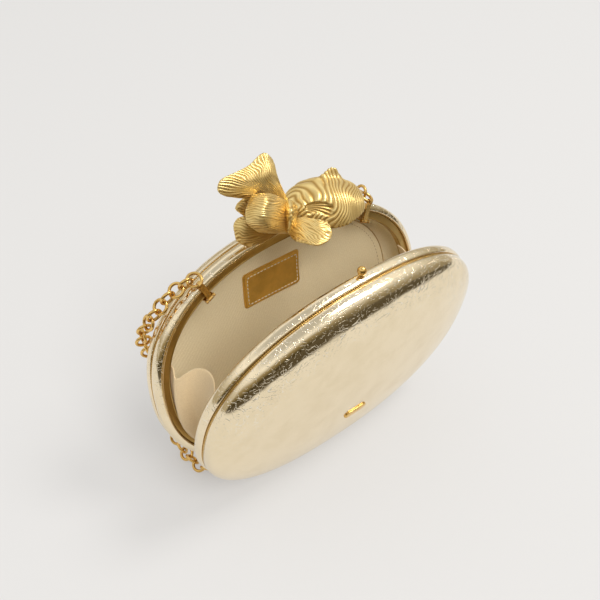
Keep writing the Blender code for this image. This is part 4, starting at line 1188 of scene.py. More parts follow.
@dataclass
class BackCard:
    """The stitched card that covers the rear lining, with the bare leather label on it."""

    wardrobe: Wardrobe
    columns: int = 288
    card_inset: float = 0.0091
    card_edge: float = 0.0087
    card_top: float = 0.0258
    card_wall: float = 0.0010
    rim_share: float = 0.94
    card_stitch_share: float = 0.905
    card_stitch: Stitch = Stitch(length=0.0017, gap=0.0011, half_width=0.00020)
    binding: float = 0.00042
    binding_lift_share: float = 0.8
    binding_sides: int = 8
    label_length: float = 0.0450
    label_height: float = 0.0245
    label_corner: float = 0.0022
    label_rise: float = 0.0285
    label_wall: float = 0.0008
    label_gap: float = 0.0001
    face_lift: float = 0.0010
    face_inset: float = 0.0008
    label_stitch_inset: float = 0.0026
    label_stitch: Stitch = Stitch(length=0.0019, gap=0.0008, half_width=0.00034)
    # Rounded edge of a leather layer: steps in from its outline, and shares of its wall.
    layer_edge: Pairs = ((0.0, 0.0), (0.0, 0.55), (0.00012, 0.85), (0.0004, 1.0),
                                                   (0.0012, 1.0))

    def surface(self, x: Grid, z: Grid, lift: float) -> Grid:
        """Points over the card, lifted off it toward the mouth, placed in the part."""
        depth = on_crown(x, z, self.card_inset, self.card_edge, self.card_top) - lift
        return placed(np.stack([x, depth, z + BAG.hinge_to_centre], axis=-1), BAG.matrix(Side.REAR))

    def outline(self, shares: Grid | float) -> tuple[Grid, Grid]:
        """Points (x, z) of the card's outline at one or more shares of its size, in a row for each."""
        oval = unit_oval(self.columns)
        return (shares * oval[:, 0] * (BAG.half_length - self.card_inset),
                shares * oval[:, 1] * (BAG.half_height - self.card_inset))

    def sew(self, name: str, x: Grid, z: Grid, lift: float, stitch: Stitch, thread: FinishName) -> None:
        """Sew a closed line of stitches on the card or the label."""
        x, z = np.append(x, x[0]), np.append(z, z[0])
        path = self.surface(x, z, lift)
        outward = self.surface(x, z, lift + 0.001) - path
        outward /= np.linalg.norm(outward, axis=1, keepdims=True)
        self.wardrobe.dress(stitch.row(name, path, outward), thread, Side.REAR.body)

    def card(self) -> None:
        """The card, with its edge turned back, its stitching and the binding round its edge."""
        shares = np.concatenate([np.linspace(self.rim_share, 0.80, 22), np.linspace(0.78, 0.02, 34)])
        x, z = self.outline(shares[:, None])
        uv = np.stack([x, z], axis=-1)
        draft = MeshDraft()
        start = draft.add_grid(self.surface(x, z, self.card_wall), wrap_columns=True, close_last=True, uv=uv)
        begin = draft.add_grid(self.surface(x, z, 0.0), wrap_columns=True, close_last=True, uv=uv, flip=True)
        draft.bridge(range(begin, begin + self.columns), range(start, start + self.columns))
        self.wardrobe.make(draft, "back_card_cloth", FinishName.LINING, Side.REAR.body, "back_lining_card")

        x, z = self.outline(self.card_stitch_share)
        self.sew("back_card_stitching", x, z, self.card_wall, self.card_stitch, FinishName.TAN_THREAD)

        edge = self.surface(*self.outline(self.rim_share), self.card_wall * self.binding_lift_share)
        draft = MeshDraft()
        draft.add_grid(loop_tube(edge, self.binding, self.binding_sides), wrap_columns=True, wrap_rows=True)
        self.wardrobe.make(draft, "back_card_binding", FinishName.TAN_THREAD, Side.REAR.body)

    def rounded(self, inset: float, count: int = 160) -> Grid:
        """Outline of the label, inset from its edge, about its own centre."""
        half = (self.label_length / 2 - inset, self.label_height / 2 - inset)
        corner = max(self.label_corner - inset * 0.6, 0.0004)
        return spaced(rounded_outline(half, corner), count, closed=True)

    def plate(self, name: str, node: str, inset: float, lift: float) -> None:
        """One leather layer of the label, with a rounded edge.

        Args:
            name: Name of the piece.
            node: Node that it replaces.
            inset: Inset from the label's edge.
            lift: Height of its back over the lining.
        """
        last_step = self.layer_edge[-1][0]
        outlines = [(self.rounded(inset + step), rise) for step, rise in self.layer_edge]
        outlines += [(self.rounded(inset + last_step) * share, 1.0) for share in np.linspace(0.92, 0.05, 14)]
        rows = [self.surface(flat[:, 0], flat[:, 1] + self.label_rise, lift + rise * self.label_wall)
                for flat, rise in outlines]
        draft = MeshDraft()
        draft.add_grid(np.stack(rows), wrap_columns=True, close_first=True, close_last=True,
                       uv=np.stack([flat for flat, _ in outlines]))
        self.wardrobe.make(draft, name, FinishName.LABEL, Side.REAR.body, node)

    def label(self) -> None:
        """The two layers of the label and the cream stitching round its edge."""
        self.plate("label_back_leather", "label_backing", 0.0, self.card_wall + self.label_gap)
        face = self.card_wall + self.face_lift
        self.plate("label_front_leather", "label_face", self.face_inset, face)
        flat = self.rounded(self.label_stitch_inset, 320)
        self.sew("label_stitching", flat[:, 0], flat[:, 1] + self.label_rise, face + self.label_wall,
                 self.label_stitch, FinishName.THREAD)

    def build(self) -> None:
        """Build the card and the label."""
        self.card()
        self.label()


@dataclass
class Gusset:
    """A cloth side panel between the shells, folded inward, with a stitched hem along its top."""

    wardrobe: Wardrobe
    sign: int
    inset: float = 0.0104
    depth: float = 0.0030
    cloth: float = 0.0006
    top: float = math.radians(16)
    bottom: float = math.radians(-62)
    fold: float = 0.0110
    fold_rise: float = 0.0040
    end_fold_share: float = 0.25
    ripple: float = 0.0007
    valley_place: float = 0.17
    valley_width: float = 0.075
    valley_drop: float = 0.0050
    crease_drift: float = 0.10
    crease_width: float = 0.085
    crease_depth: float = 0.0050
    weave_length: float = 0.09
    weave_width: float = 0.05
    hem_row: int = 3
    hem: Stitch = Stitch(length=0.0016, gap=0.0006, half_width=0.00012)
    rows: int = 70
    columns: int = 80

    def edge(self, side: Side, angle: Grid) -> Grid:
        """Line where the gusset meets a shell's frame.

        Args:
            side: Which shell.
            angle: Angles around its frame.

        Returns:
            The line's points.
        """
        oval = oval_direction(angle)
        x = self.sign * (BAG.half_length - self.inset) * oval[:, 0]
        z = (BAG.half_height - self.inset) * oval[:, 1] + BAG.hinge_to_centre
        y = np.full_like(x, side.value * self.depth)
        return placed(np.stack([x, y, z], axis=1), BAG.matrix(side))

    def cloth_grid(self) -> Grid:
        """The folded cloth, from its top row down and from the rear frame to the front one.

        Returns:
            The cloth's points.
        """
        down = np.linspace(0.0, 1.0, self.rows)[:, None]
        across = np.linspace(0.0, 1.0, self.columns)[None, :]
        angle = self.top + down[:, 0] * (self.bottom - self.top)
        rear, front = self.edge(Side.REAR, angle)[:, None], self.edge(Side.FRONT, angle)[:, None]
        grid = rear * (1 - across[..., None]) + front * across[..., None]
        bend = np.sin(math.pi * across) ** 2
        fold = self.fold * (1.0 + down * (self.end_fold_share - 1.0))
        wave = self.ripple * np.sin(across * 9.0 + down * 7.0) * bend
        grid[..., 0] -= self.sign * (fold * bend + wave)
        grid[..., 2] += self.fold_rise * (1.0 - down) * bend
        valley = np.exp(-((across - self.valley_place) / self.valley_width) ** 2) * (1.0 - 0.75 * down)
        grid[..., 2] -= self.valley_drop * valley
        line = self.valley_place + self.crease_drift * down
        crease = np.exp(-((across - line) / self.crease_width) ** 2) * (1.0 - 0.35 * down)
        grid[..., 0] += self.sign * self.crease_depth * crease
        return grid

    def build(self) -> None:
        """Build the cloth and its hem stitches, bent between the shells."""
        grid = self.cloth_grid()
        run = np.linspace(0.0, self.weave_length, self.rows)[:, None] + np.zeros((1, self.columns))
        across = np.linspace(0.0, self.weave_width, self.columns)[None, :] + np.zeros((self.rows, 1))
        draft = MeshDraft()
        draft.add_grid(grid, uv=np.stack([across, run], axis=-1))
        word = "left" if self.sign < 0 else "right"
        item = draft.to_object(word + "_gusset_cloth")
        wall(item, self.cloth, offset=0.0)
        self.wardrobe.dress(item, FinishName.GUSSET, None, word + "_gusset")

        inward = normals_of(grid)[self.hem_row] * self.sign
        if inward[len(inward) // 2, 0] * self.sign > 0:
            inward = -inward
        stitches = self.hem.row(word + "_gusset_hem", grid[self.hem_row] + inward * (self.cloth / 2), inward)
        self.wardrobe.dress(stitches, FinishName.THREAD, None)
        for piece in (item, stitches):
            Side.REAR.body
            Side.FRONT.body
            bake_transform(piece)


# Points of each fin from its root to its tips, in thousandths of the fish's length: along the rim, depth
# and rise.
FIN_NETS: dict[str, Sequence[Sequence[Sequence[int]]]] = {
    "goldfish_upper_tail": (
        ((-2, -30, 158), (-10, -30, 157), (-17, -30, 155), (-25, -30, 152), (-32, -30, 149),
         (-38, -30, 144), (-43, -30, 138), (-47, -30, 133)),
        ((-34, -10, 256), (-73, -35, 324), (-120, -55, 352), (-173, -60, 343), (-224, -60, 337),
         (-266, -60, 332), (-252, -55, 294), (-179, -45, 229)),
        ((-34, 20, 364), (-49, 20, 425), (-99, 20, 461), (-208, 0, 440), (-313, -10, 433),
         (-432, -20, 428), (-449, -30, 363), (-292, -20, 284)),
    ),
    "goldfish_front_tail": (
        ((-27, -60, 168), (-43, -80, 152), (-61, -100, 132), (-78, -115, 106), (-89, -120, 75),
         (-93, -115, 44), (-89, -100, 16), (-62, -60, -13)),
        ((-166, -100, 274), (-235, -160, 288), (-279, -200, 274), (-304, -220, 246), (-310, -225, 209),
         (-289, -210, 161), (-243, -170, 107), (-153, -70, 30)),
        ((-264, -60, 296), (-315, -90, 285), (-358, -120, 268), (-385, -140, 242), (-391, -150, 211),
         (-358, -140, 164), (-308, -120, 118), (-229, -50, 54)),
    ),
    "goldfish_left_lobe": (
        ((-145, -35, 229), (-155, -35, 210), (-166, -35, 193), (-177, -35, 176), (-186, -35, 158),
         (-194, -35, 139)),
        ((-199, -30, 261), (-235, -30, 250), (-264, -30, 229), (-268, -30, 205), (-256, -30, 177),
         (-243, -30, 151)),
        ((-230, -10, 271), (-287, -5, 271), (-336, 0, 247), (-345, 0, 224), (-313, -5, 182),
         (-289, -10, 158)),
    ),
    "goldfish_lower_tail": (
        ((-131, -60, 122), (-122, -60, 93), (-113, -60, 64), (-96, -55, 33), (-79, -45, 1),
         (-65, -35, -26)),
        ((-253, -60, 162), (-300, -80, 154), (-325, -90, 123), (-306, -80, 70), (-256, -60, 14),
         (-168, -30, -27)),
        ((-331, -30, 185), (-368, -20, 176), (-391, -20, 136), (-385, -20, 64), (-336, -20, 7),
         (-244, -10, -25)),
    ),
    "goldfish_side_fin": (
        ((-106, -140, 26), (-101, -130, 41), (-92, -125, 60), (-77, -125, 74), (-56, -130, 80),
         (-33, -140, 84), (-11, -150, 85), (7, -160, 86)),
        ((-146, -210, 32), (-138, -245, 41), (-124, -265, 52), (-97, -275, 59), (-59, -275, 63),
         (-23, -265, 65), (5, -255, 73), (21, -240, 91)),
        ((-162, -270, 42), (-146, -325, 38), (-127, -375, 32), (-79, -385, 19), (-24, -375, 15),
         (35, -345, 19), (62, -305, 36), (73, -270, 65)),
    ),
    "goldfish_knot": (
        ((-48, -70, 181), (-92, -115, 158), (-113, -135, 122), (-115, -135, 72), (-105, -125, 16)),
        ((-36, -90, 187), (-93, -165, 173), (-114, -185, 136), (-122, -178, 87), (-114, -150, 23)),
        ((3, -70, 161), (-11, -115, 128), (-42, -140, 102), (-69, -140, 61), (-82, -125, 4)),
    ),
}


@dataclass
class Goldfish:
    """The cast goldfish: an arched body with flowing ridges, a dorsal and side fins, and a fanned tail."""

    wardrobe: Wardrobe
    length: float = 0.1000
    body_start: float = -0.0080
    body_length: float = 0.0620
    half_width: float = 0.0200
    height: float = 0.0205
    centre_depth: float = -0.0035
    arch_power: float = 0.8
    clearance: float = 0.0006
    arch_half: float = 0.0026
    arch_ease: float = 0.0016
    body_wall: float = 0.0014
    ridge: float = 0.00058
    leaf_sink: float = 0.0011
    fin_ridge: float = 0.00042
    # Waves in a fin's ridges: their size, and their turns out along a ray and around the fan.
    fin_waves: Triples = ((0.45, 6.5, 5.0), (0.22, 15.0, -9.0))
    fin_drift: float = 0.8
    # Outline of a fin's tips: scallops between its rays and a slower wave, as shares of the fish's length.
    scallop: float = 0.0022
    tip_wave: float = 0.006
    tip_wave_turns: float = 23.0
    steepest: float = 0.30
    finest: float = 0.0005
    crest_rise: float = 0.0068
    leaf_root: tuple[float, float] = (0.0118, 0.0152)
    leaf_turn: float = math.radians(-32)
    leaf_length: float = 0.0155
    leaf_half: float = 0.0047
    leaf_girth: float = 0.062
    leaf_ease: float = 0.0012
    leaf_folds: float = 7.0
    leaf_fan_back: float = 0.004
    # The body's form: shares of its length, of its half width and of its height.
    stations: Triples = (
        (0.0, 0.18, 0.36), (0.06, 0.34, 0.50), (0.15, 0.58, 0.74), (0.27, 0.84, 0.92), (0.40, 1.04, 1.0),
        (0.52, 1.08, 1.0), (0.65, 0.96, 0.95), (0.78, 0.80, 0.86), (0.88, 0.64, 0.76), (0.945, 0.42, 0.62))
    # The dorsal fin: shares of the body's length, and of the fin's rise.
    crest: Pairs = (
        (0.0, 0.0), (0.40, 0.0), (0.48, 0.07), (0.55, 0.28), (0.61, 0.62), (0.655, 0.90), (0.69, 1.0),
        (0.73, 0.98), (0.755, 0.80), (0.775, 0.45), (0.80, 0.12), (0.83, 0.0), (1.0, 0.0))
    # Section of the dorsal fin, broad at its foot: shares of its rise, and widths as shares of the girth.
    crest_section: Pairs = ((0.30, 0.085), (0.70, 0.030))
    ridges: float = 24.0
    # Waves in the body's ridges: their size, and their turns over the girth and along the body.
    ridge_waves: Triples = ((0.55, 9.0, 9.0), (0.30, 19.0, 5.0))
    ridge_drift: float = 0.9
    apex_depth: float = 0.0005
    # The closed head: sizes of its last rings, and how far each is pushed out.
    head: Pairs = ((0.82, 0.0008), (0.58, 0.0013), (0.30, 0.0016), (0.04, 0.0017))
    chin_start: float = 0.74
    chin_rise: float = 0.0042
    fin_wall: float = 0.0015

    @property
    def place(self) -> Matrix:
        """Placement of the rear shell's frame."""
        return BAG.matrix(Side.REAR)

    def clear_height(self, x: float, depth: float) -> float:
        """Height above which the fish clears the shut bag, the ball and the front shell's swing.

        Args:
            x: Place along the rim.
            depth: Depth from the mouth.

        Returns:
            The height.
        """
        top = BAG.hinge_to_centre + oval_height(BAG.half_length, BAG.half_height, x)
        if depth < 0.0:
            reach = math.hypot(top, BAG.band_depth / 2)
            low = math.sqrt(reach * reach - depth * depth) + self.clearance
            ball = math.hypot(BAG.rim_top + BAG.ball_rise, BAG.ball_depth) + BAG.ball_radius + self.clearance
            near = math.exp(-(max(abs(x) - self.arch_half, 0.0) / self.arch_ease) ** 2)
            return max(low, low + near * (math.sqrt(ball * ball - depth * depth) - low))
        if depth < BAG.panel_edge_depth:
            return top + self.clearance
        over = (depth - BAG.panel_edge_depth) / (BAG.crown_depth - BAG.panel_edge_depth)
        share = math.sqrt(max(0.0, 1.0 - over ** (1 / BAG.crown_power)))
        length, height = BAG.half_length - BAG.panel_inset, BAG.half_height - BAG.panel_inset
        return BAG.hinge_to_centre + oval_height(length * share, height * share, x) + self.clearance

    def leaf(self, station: Grid, angle: Grid) -> tuple[Grid, Grid]:
        """The sunken leaf behind the side fin.

        Args:
            station: Shares along the body.
            angle: Shares over its girth.

        Returns:
            How deep each point lies in the leaf, and the fan of the leaf's own ridges.
        """
        across = (station * self.body_length - self.leaf_root[0], angle * self.leaf_girth - self.leaf_root[1])
        cos, sin = math.cos(self.leaf_turn), math.sin(self.leaf_turn)
        along = across[0] * cos + across[1] * sin
        aside = across[1] * cos - across[0] * sin
        share = np.clip(along / self.leaf_length, 0.0, 1.0)
        half = self.leaf_half * np.sqrt(share + 0.02) * np.sqrt(np.clip(1.15 - share, 0.0, 1.0)) * 1.4
        away = np.abs(aside) / np.maximum(half, 1e-5)
        mask = np.clip((1.1 - away) / 0.3, 0.0, 1.0)
        mask = mask * np.clip((1.0 - along / self.leaf_length) * 6.0, 0.0, 1.0)
        mask = mask * np.clip(along / self.leaf_ease + 0.5, 0.0, 1.0)
        fan = np.sin(2 * math.pi * self.leaf_folds * np.arctan2(aside, along + self.leaf_fan_back))
        return mask, fan

    def body_grid(self, rows: int = 200, columns: int = 150) -> tuple[Grid, Grid]:
        """The body's outer skin with its ridges, and how deep each point lies in a groove.

        Args:
            rows: Steps along the body.
            columns: Steps over its girth.

        Returns:
            The points, and the patina of each.
        """
        table = smooth_rows(self.stations, rows)
        shares = np.linspace(0.0, 1.0, columns)
        crest = np.interp(table[:, 0], *zip(*self.crest))
        grid = np.zeros((rows, columns, 3))
        for row, (station, width, height) in enumerate(table):
            x = self.body_start + self.body_length * station
            half = self.half_width * width
            near, far = self.centre_depth - half, self.centre_depth + half
            chin = self.chin_rise * max(0.0, (station - self.chin_start) / 0.2) ** 2
            near_z, far_z = self.clear_height(x, near) + chin, self.clear_height(x, far) + chin
            apex = self.clear_height(x, self.apex_depth) + self.height * height
            angle = shares * math.pi
            base = near_z + (far_z - near_z) * shares
            grid[row, :, 0] = x
            grid[row, :, 1] = self.centre_depth - half * np.cos(angle)
            grid[row, :, 2] = base + (apex - base) * np.sin(angle) ** self.arch_power
            spine = sum(rise * np.exp(-((shares - 0.5) / width) ** 2) for rise, width in self.crest_section)
            grid[row, :, 2] += self.crest_rise * crest[row] * spine
        station, angle = np.meshgrid(table[:, 0], shares, indexing="ij")
        lean = 2.0 + 6.0 * np.clip(station / 0.5, 0.0, 1.0) ** 1.3
        flow = self.ridges * station - lean * np.sin(math.pi * angle)
        for size, over, along in self.ridge_waves:
            flow += size * np.sin(over * angle + along * station)
        flow += self.ridge_drift * drift(table[:, 0] * 7.0, shares * 6.0, 0.3)
        wave = np.sin(2 * math.pi * flow)
        sunk, fan = self.leaf(station, angle)
        wave = wave * (1.0 - sunk) + fan * sunk
        height = 0.5 + 0.5 * wave
        edge = np.clip(np.minimum(station * 12.0, (1.0 - station) * 10.0), 0.0, 1.0)
        normal = normals_of(grid)
        outward = np.sign(normal[rows // 2, columns // 2, 2]) * normal
        lift = self.ridge * (height ** 0.7 - 0.6) * edge - self.leaf_sink * sunk
        grid = grid + outward * lift[..., None]
        patina = np.clip((1.0 - height) ** 2 * edge + 0.45 * sunk, 0.0, 1.0)
        middle = grid[-1].mean(axis=0)
        nose = [middle + (grid[-1] - middle) * size + np.array([push, 0.0, 0.0]) for size, push in self.head]
        grid = np.concatenate([grid, np.stack(nose)])
        return grid, np.concatenate([patina, np.repeat(patina[-1:] * 0.5, len(nose), axis=0)])

    def body(self) -> None:
        """The hollow body, closed at the head."""
        grid, patina = self.body_grid()
        draft = MeshDraft()
        draft.add_grid(placed(grid, self.place), patina=patina)
        body = draft.to_object("goldfish_body")
        middle = np.array(body.data.polygons[len(body.data.polygons) // 2].normal)
        if middle[2] < 0:
            body.data.flip_normals()
        wall(body, self.body_wall)
        self.wardrobe.dress(body, FinishName.CAST_GOLD, Side.REAR.body, "goldfish_casting")

    def point(self, thousandths: Sequence[int]) -> Grid:
        """Place of a fin point in the shell's frame, from thousandths of the fish's length."""
        x, depth, rise = (number / 1000 for number in thousandths)
        return np.array([x * self.length, depth * self.length, BAG.rim_top + rise * self.length])

    def fin(self, name: str, net: Sequence[Sequence[Sequence[int]]], ridges: int, shade: float = 0.0,
            rows: int = 60) -> None:
        """One fin: a sheet through a net of points, with a wavy ridge along each ray and a thin edge.

        Args:
            name: Name of the piece.
            net: Rows of points from the root to the tips, in thousandths.
            ridges: Number of ridges.
            shade: Strength of painted shade at the fin's root, for the shade that falls behind the tail's
                front curl.
            rows: Steps along a ray.
        """
        columns = ridges * 8 + 1
        fan = np.linspace(0.0, 1.0, columns)
        across = [smooth_rows([self.point(place) for place in row], columns) for row in net]
        rays = [smooth_rows([row[column] for row in across], rows) for column in range(columns)]
        sheet = np.stack(rays, axis=1)
        radial = np.linspace(0.0, 1.0, rows)[:, None] + np.zeros((1, columns))
        reach = self.scallop * np.sin(2 * math.pi * (ridges * fan - 0.25))
        reach += self.tip_wave * np.sin(fan * self.tip_wave_turns)
        outward = sheet[-1] - sheet[-4]
        outward /= np.linalg.norm(outward, axis=1, keepdims=True)
        grow = np.clip(radial * 5.0 - 4.0, 0.0, 1.0) ** 2 * reach[None] * self.length * 0.25
        sheet = sheet + outward[None] * grow[..., None]
        surface = normals_of(sheet)
        if surface[rows // 2, columns // 2] @ np.array([-0.2, -0.7, 0.7]) < 0:
            surface = -surface
        sweep = sum(size * np.sin(out * radial + around * fan) for size, out, around in self.fin_waves)
        wander = drift(radial[:, 0] * 5.0, fan * 8.0, ridges * 1.7)
        phase = ridges * fan + sweep + self.fin_drift * wander - 0.25
        wave = np.sin(2 * math.pi * phase)
        side = np.clip(np.minimum(fan, 1.0 - fan) * 14.0, 0.0, 1.0)[None, :]
        tip = np.clip((1.0 - radial) * 7.0, 0.0, 1.0)
        thick = self.fin_wall * (0.28 + 0.72 * np.sqrt(np.minimum(side, tip)))
        grown = np.clip(radial * 1.6 + 0.2, 0.35, 1.0)
        turns = [np.abs(np.gradient(phase, axis=axis)) / np.linalg.norm(np.gradient(sheet, axis=axis), axis=2)
                 for axis in (0, 1)]
        pitch = 1.0 / np.maximum(np.hypot(*turns), 1.0)
        crest = np.minimum(self.fin_ridge * grown, self.steepest * np.maximum(pitch - self.finest, 0.0))
        ridge = crest * (0.5 + 0.5 * wave) ** 0.8
        grown = np.clip(crest / (self.fin_ridge * 0.8), 0.0, 1.0)
        front = sheet + surface * (thick / 2 + ridge)[..., None]
        back = sheet - surface * (thick / 2 + 0.6 * ridge)[..., None]
        for grid in (front, back):
            for row in grid.reshape(-1, 3):
                row[2] = max(row[2], self.clear_height(row[0], row[1]) + 0.0001)
        # Painted shade: the fin's patina darkens toward its root by its shade, for the shade behind the front
        # curl.
        hollow = shade * np.clip(1.5 - 1.9 * radial, 0.0, 1.0)
        patina = np.clip((0.5 - 0.5 * wave) ** 2 * np.minimum(grown, tip + 0.4) + hollow, 0.0, 1.0)
        draft = MeshDraft()
        first = draft.add_grid(placed(front, self.place), patina=patina)
        second = draft.add_grid(placed(back, self.place), flip=True, patina=patina)
        rim = [row * columns for row in range(rows)] + [(rows - 1) * columns + c for c in range(1, columns)]
        rim += [row * columns + columns - 1 for row in range(rows - 2, -1, -1)]
        rim += list(range(columns - 2, 0, -1))
        draft.bridge([first + index for index in rim], [second + index for index in rim])
        self.wardrobe.make(draft, name, FinishName.CAST_GOLD, Side.REAR.body)

    def build(self) -> None:
        """Build the body and its fins."""
        self.body()
        # Each fin's name, its number of ridges, and the strength of painted shade at its root.
        for name, ridges, shade in (("goldfish_upper_tail", 30, 0.0), ("goldfish_front_tail", 22, 0.0),
                                    ("goldfish_left_lobe", 10, 0.5), ("goldfish_lower_tail", 15, 1.0),
                                    ("goldfish_side_fin", 15, 0.0), ("goldfish_knot", 6, 0.0)):
            self.fin(name, FIN_NETS[name], ridges, shade)


@dataclass
class RingChain:
    """The shoulder chain: an end ring in each lug and round rings that hang and lie between them."""

    wardrobe: Wardrobe
    wire: float = 0.00095
    radius: float = 0.0041
    pitch: float = 0.0063
    slack_pitch: float = 0.0054
    lay: float = math.radians(45)
    lean: float = math.radians(60)
    rest_scale: float = 0.8862
    lug_forward: float = 0.0004
    eye_rise: float = 0.0014
    curve_steps: int = 12
    steps: int = 32
    sides: int = 12
    # Route behind the rear shell: shares along the rim as route_x takes them, of the crown's depth, and of
    # the oval's height there.
    left_drop: Triples = (
        (-1.145, 0.121, 1.102), (-1.314, 0.208, 1.133), (-1.470, 0.291, 1.156),
        (-1.620, 0.367, 1.173), (-1.718, 0.520, 1.139), (-1.749, 0.750, 0.928),
        (-1.652, 0.955, 0.495), (-1.486, 1.090, 0.055), (-1.388, 1.153, -0.392),
        (-1.367, 1.245, -0.824), (-1.380, 1.240, -1.062))
    # Route on the floor: shares along the rim, and of the bag's half length along Y.
    floor_run: Pairs = (
        (-1.393, 0.171), (-1.401, 0.076), (-1.351, -0.014), (-1.174, -0.066), (-0.992, -0.028),
        (-0.954, 0.057), (-0.939, 0.142), (-0.870, 0.218), (-0.702, 0.275), (-0.382, 0.303),
        (0.0, 0.308), (0.457, 0.318), (0.805, 0.331))
    right_drop: Triples = (
        (1.014, 1.640, -0.861), (1.064, 1.507, -0.560), (1.064, 1.286, -0.069),
        (1.072, 1.075, 0.424), (1.072, 0.935, 0.780), (1.064, 0.740, 0.987),
        (1.050, 0.462, 1.083), (1.040, 0.238, 1.092))

    def lug_matrix(self, sign: int) -> Matrix:
        """Frame of a lug on the rim's outline: X along the rim, Y into the shell, Z outward.

        Args:
            sign: -1 for the left lug, 1 for the right one.

        Returns:
            The frame in the shell's.
        """
        height = oval_height(BAG.half_length, BAG.half_height, BAG.lug_x)
        rise_x = (BAG.lug_x / BAG.half_length) ** (BAG.oval_power - 1) / BAG.half_length
        rise_z = (height / BAG.half_height) ** (BAG.oval_power - 1) / BAG.half_height
        outward = Vector((sign * rise_x, 0.0, rise_z)).normalized()
        into = Vector((0.0, 1.0, 0.0))
        matrix = Matrix((into.cross(outward), into, outward)).transposed().to_4x4()
        matrix.translation = (sign * BAG.lug_x, 0.0, BAG.hinge_to_centre + height)
        return matrix

    def end_matrix(self, sign: int) -> Matrix:
        """Placement of an end ring, hung in its lug's eye and leaning back over the rim.

        Args:
            sign: -1 for the left ring, 1 for the right one.

        Returns:
            Its placement in the part.
        """
        lean = Vector((0.0, math.sin(self.lean), math.cos(self.lean)))
        along = Vector((1.0, 0.0, 0.0))
        reach = self.radius * math.cos(math.pi / 16)
        turned = Matrix((lean, along, lean.cross(along))).transposed().to_4x4()
        turned.translation = Vector((0.0, -self.lug_forward, self.eye_rise)) + lean * reach
        return BAG.matrix(Side.REAR) @ self.lug_matrix(sign) @ turned

    def route_x(self, share: float) -> float:
        """Place along X, where a share of 1 is at a lug and 2 is at the rim's end."""
        beyond = max(abs(share) - 1.0, 0.0)
        reach = BAG.lug_x * min(abs(share), 1.0) + (BAG.half_length - BAG.lug_x) * beyond
        return math.copysign(reach, share)

    def route(self) -> tuple[list[Vector], float]:
        """The chain's route in the part, and the height at which a ring rests on the floor.

        Returns:
            The route's points and the height.
        """
        rest = self.radius * math.sin(self.lay) + self.wire * math.sqrt(2) * self.rest_scale
        place = BAG.matrix(Side.REAR)

        def hung(shares: Sequence[float]) -> Vector:
            """Point behind the rear shell."""
            x, depth, rise = self.route_x(shares[0]), shares[1] * BAG.crown_depth, shares[2]
            return place @ Vector((x, depth, BAG.hinge_to_centre
                                   + rise * oval_height(BAG.half_length, BAG.half_height, x)))

        points = [self.end_matrix(-1).translation]
        points += [hung(shares) for shares in self.left_drop]
        points += [Vector((self.route_x(x), y * BAG.half_length, rest)) for x, y in self.floor_run]
        points += [hung(shares) for shares in self.right_drop]
        points.append(self.end_matrix(1).translation)
        return points, rest

    @staticmethod
    def along(curve: Grid, spacings: Sequence[float]) -> list[Vector]:
        """Points on a curve after each spacing, the spacings scaled to end at its last point."""
        run = run_of(curve)
        wanted = np.concatenate([[0.0], np.cumsum(spacings)])
        return [Vector(place) for place in at_run(curve, run, wanted * run[-1] / wanted[-1])]

    def centres(self) -> tuple[list[Vector], int, int]:
        """Centres of all rings, with the first and last that lie on the floor.

        Returns:
            The centres, then the first and last that lie on the floor.
        """
        points, rest = self.route()
        curve = smooth_rows(points, (len(points) - 1) * self.curve_steps + 1)
        count = round((run_of(curve)[-1] - 4 * self.slack_pitch) / self.pitch)
        spacings = [self.pitch] * (count + 4)
        places = self.along(curve, spacings)
        low = [index for index, place in enumerate(places) if place.z < rest + self.wire]
        first, last = low[0], low[-1]
        for index in (0, first - 1, last, len(spacings) - 1):
            spacings[index] = self.slack_pitch
        places = self.along(curve, spacings)
        for place in places[first:last + 1]:
            place.z = max(place.z, rest)
        return places, first, last

    @staticmethod
    def turn_about(tangent: Vector, start: Vector, end: Vector) -> float:
        """Angle about a tangent from one direction to another."""
        start = start - tangent * start.dot(tangent)
        end = end - tangent * end.dot(tangent)
        return math.atan2(tangent.dot(start.cross(end)), start.dot(end))

    def matrices(self) -> tuple[list[Matrix], int, int]:
        """Placement of every ring, each a quarter turn from the last.

        Returns:
            The placements, then the first and last that lie on the floor.
        """
        places, first, last = self.centres()
        facing = self.end_matrix(-1).to_3x3().col[2]
        frames: list[tuple[Vector, Vector, Vector]] = []
        for index, place in enumerate(places):
            before, after = places[max(index - 1, 0)], places[min(index + 1, len(places) - 1)]
            tangent = (after - before).normalized()
            if frames:
                facing = frames[-1][1].rotation_difference(tangent) @ frames[-1][2]
            facing = (facing - tangent * facing.dot(tangent)).normalized()
            frames.append((place, tangent, facing.copy()))
        _, tangent, carried = frames[(first + last) // 2]
        level = self.turn_about(tangent, carried, Vector((0.0, 0.0, 1.0))) + self.lay
        level = (level + math.pi / 4) % (math.pi / 2) - math.pi / 4
        final = len(frames) - 1
        _, tangent, carried = frames[final]
        ending = self.turn_about(tangent, carried, self.end_matrix(1).to_3x3().col[2])
        ending -= math.pi / 2 * (final % 2)
        ending = level + math.remainder(ending - level, math.pi)
        result = []
        for index, (place, tangent, carried) in enumerate(frames):
            if index <= first:
                twist = level * index / first
            elif index <= last:
                twist = level
            else:
                twist = level + (ending - level) * (index - last) / (final - last)
            normal = Matrix.Rotation(twist + math.pi / 2 * (index % 2), 3, tangent) @ carried
            matrix = Matrix((tangent, normal.cross(tangent), normal)).transposed().to_4x4()
            matrix.translation = place
            result.append(matrix)
        return result, first, last

    def torus(self) -> tuple[Grid, Grid]:
        """One ring about Z, with a little patina on its inner side.

        Returns:
            The points, and the patina of each.
        """
        angle, turn = full_turn(self.steps), full_turn(self.sides)
        outward = np.stack([np.cos(angle), np.sin(angle), np.zeros_like(angle)], axis=1)
        radial = self.radius + self.wire * np.cos(turn)
        grid = outward[:, None] * radial[None, :, None]
        grid[..., 2] = self.wire * np.sin(turn)[None]
        inner = np.clip(-np.cos(turn), 0.0, 1.0) ** 2 * 0.55
        return grid, np.repeat(inner[None], self.steps, axis=0)

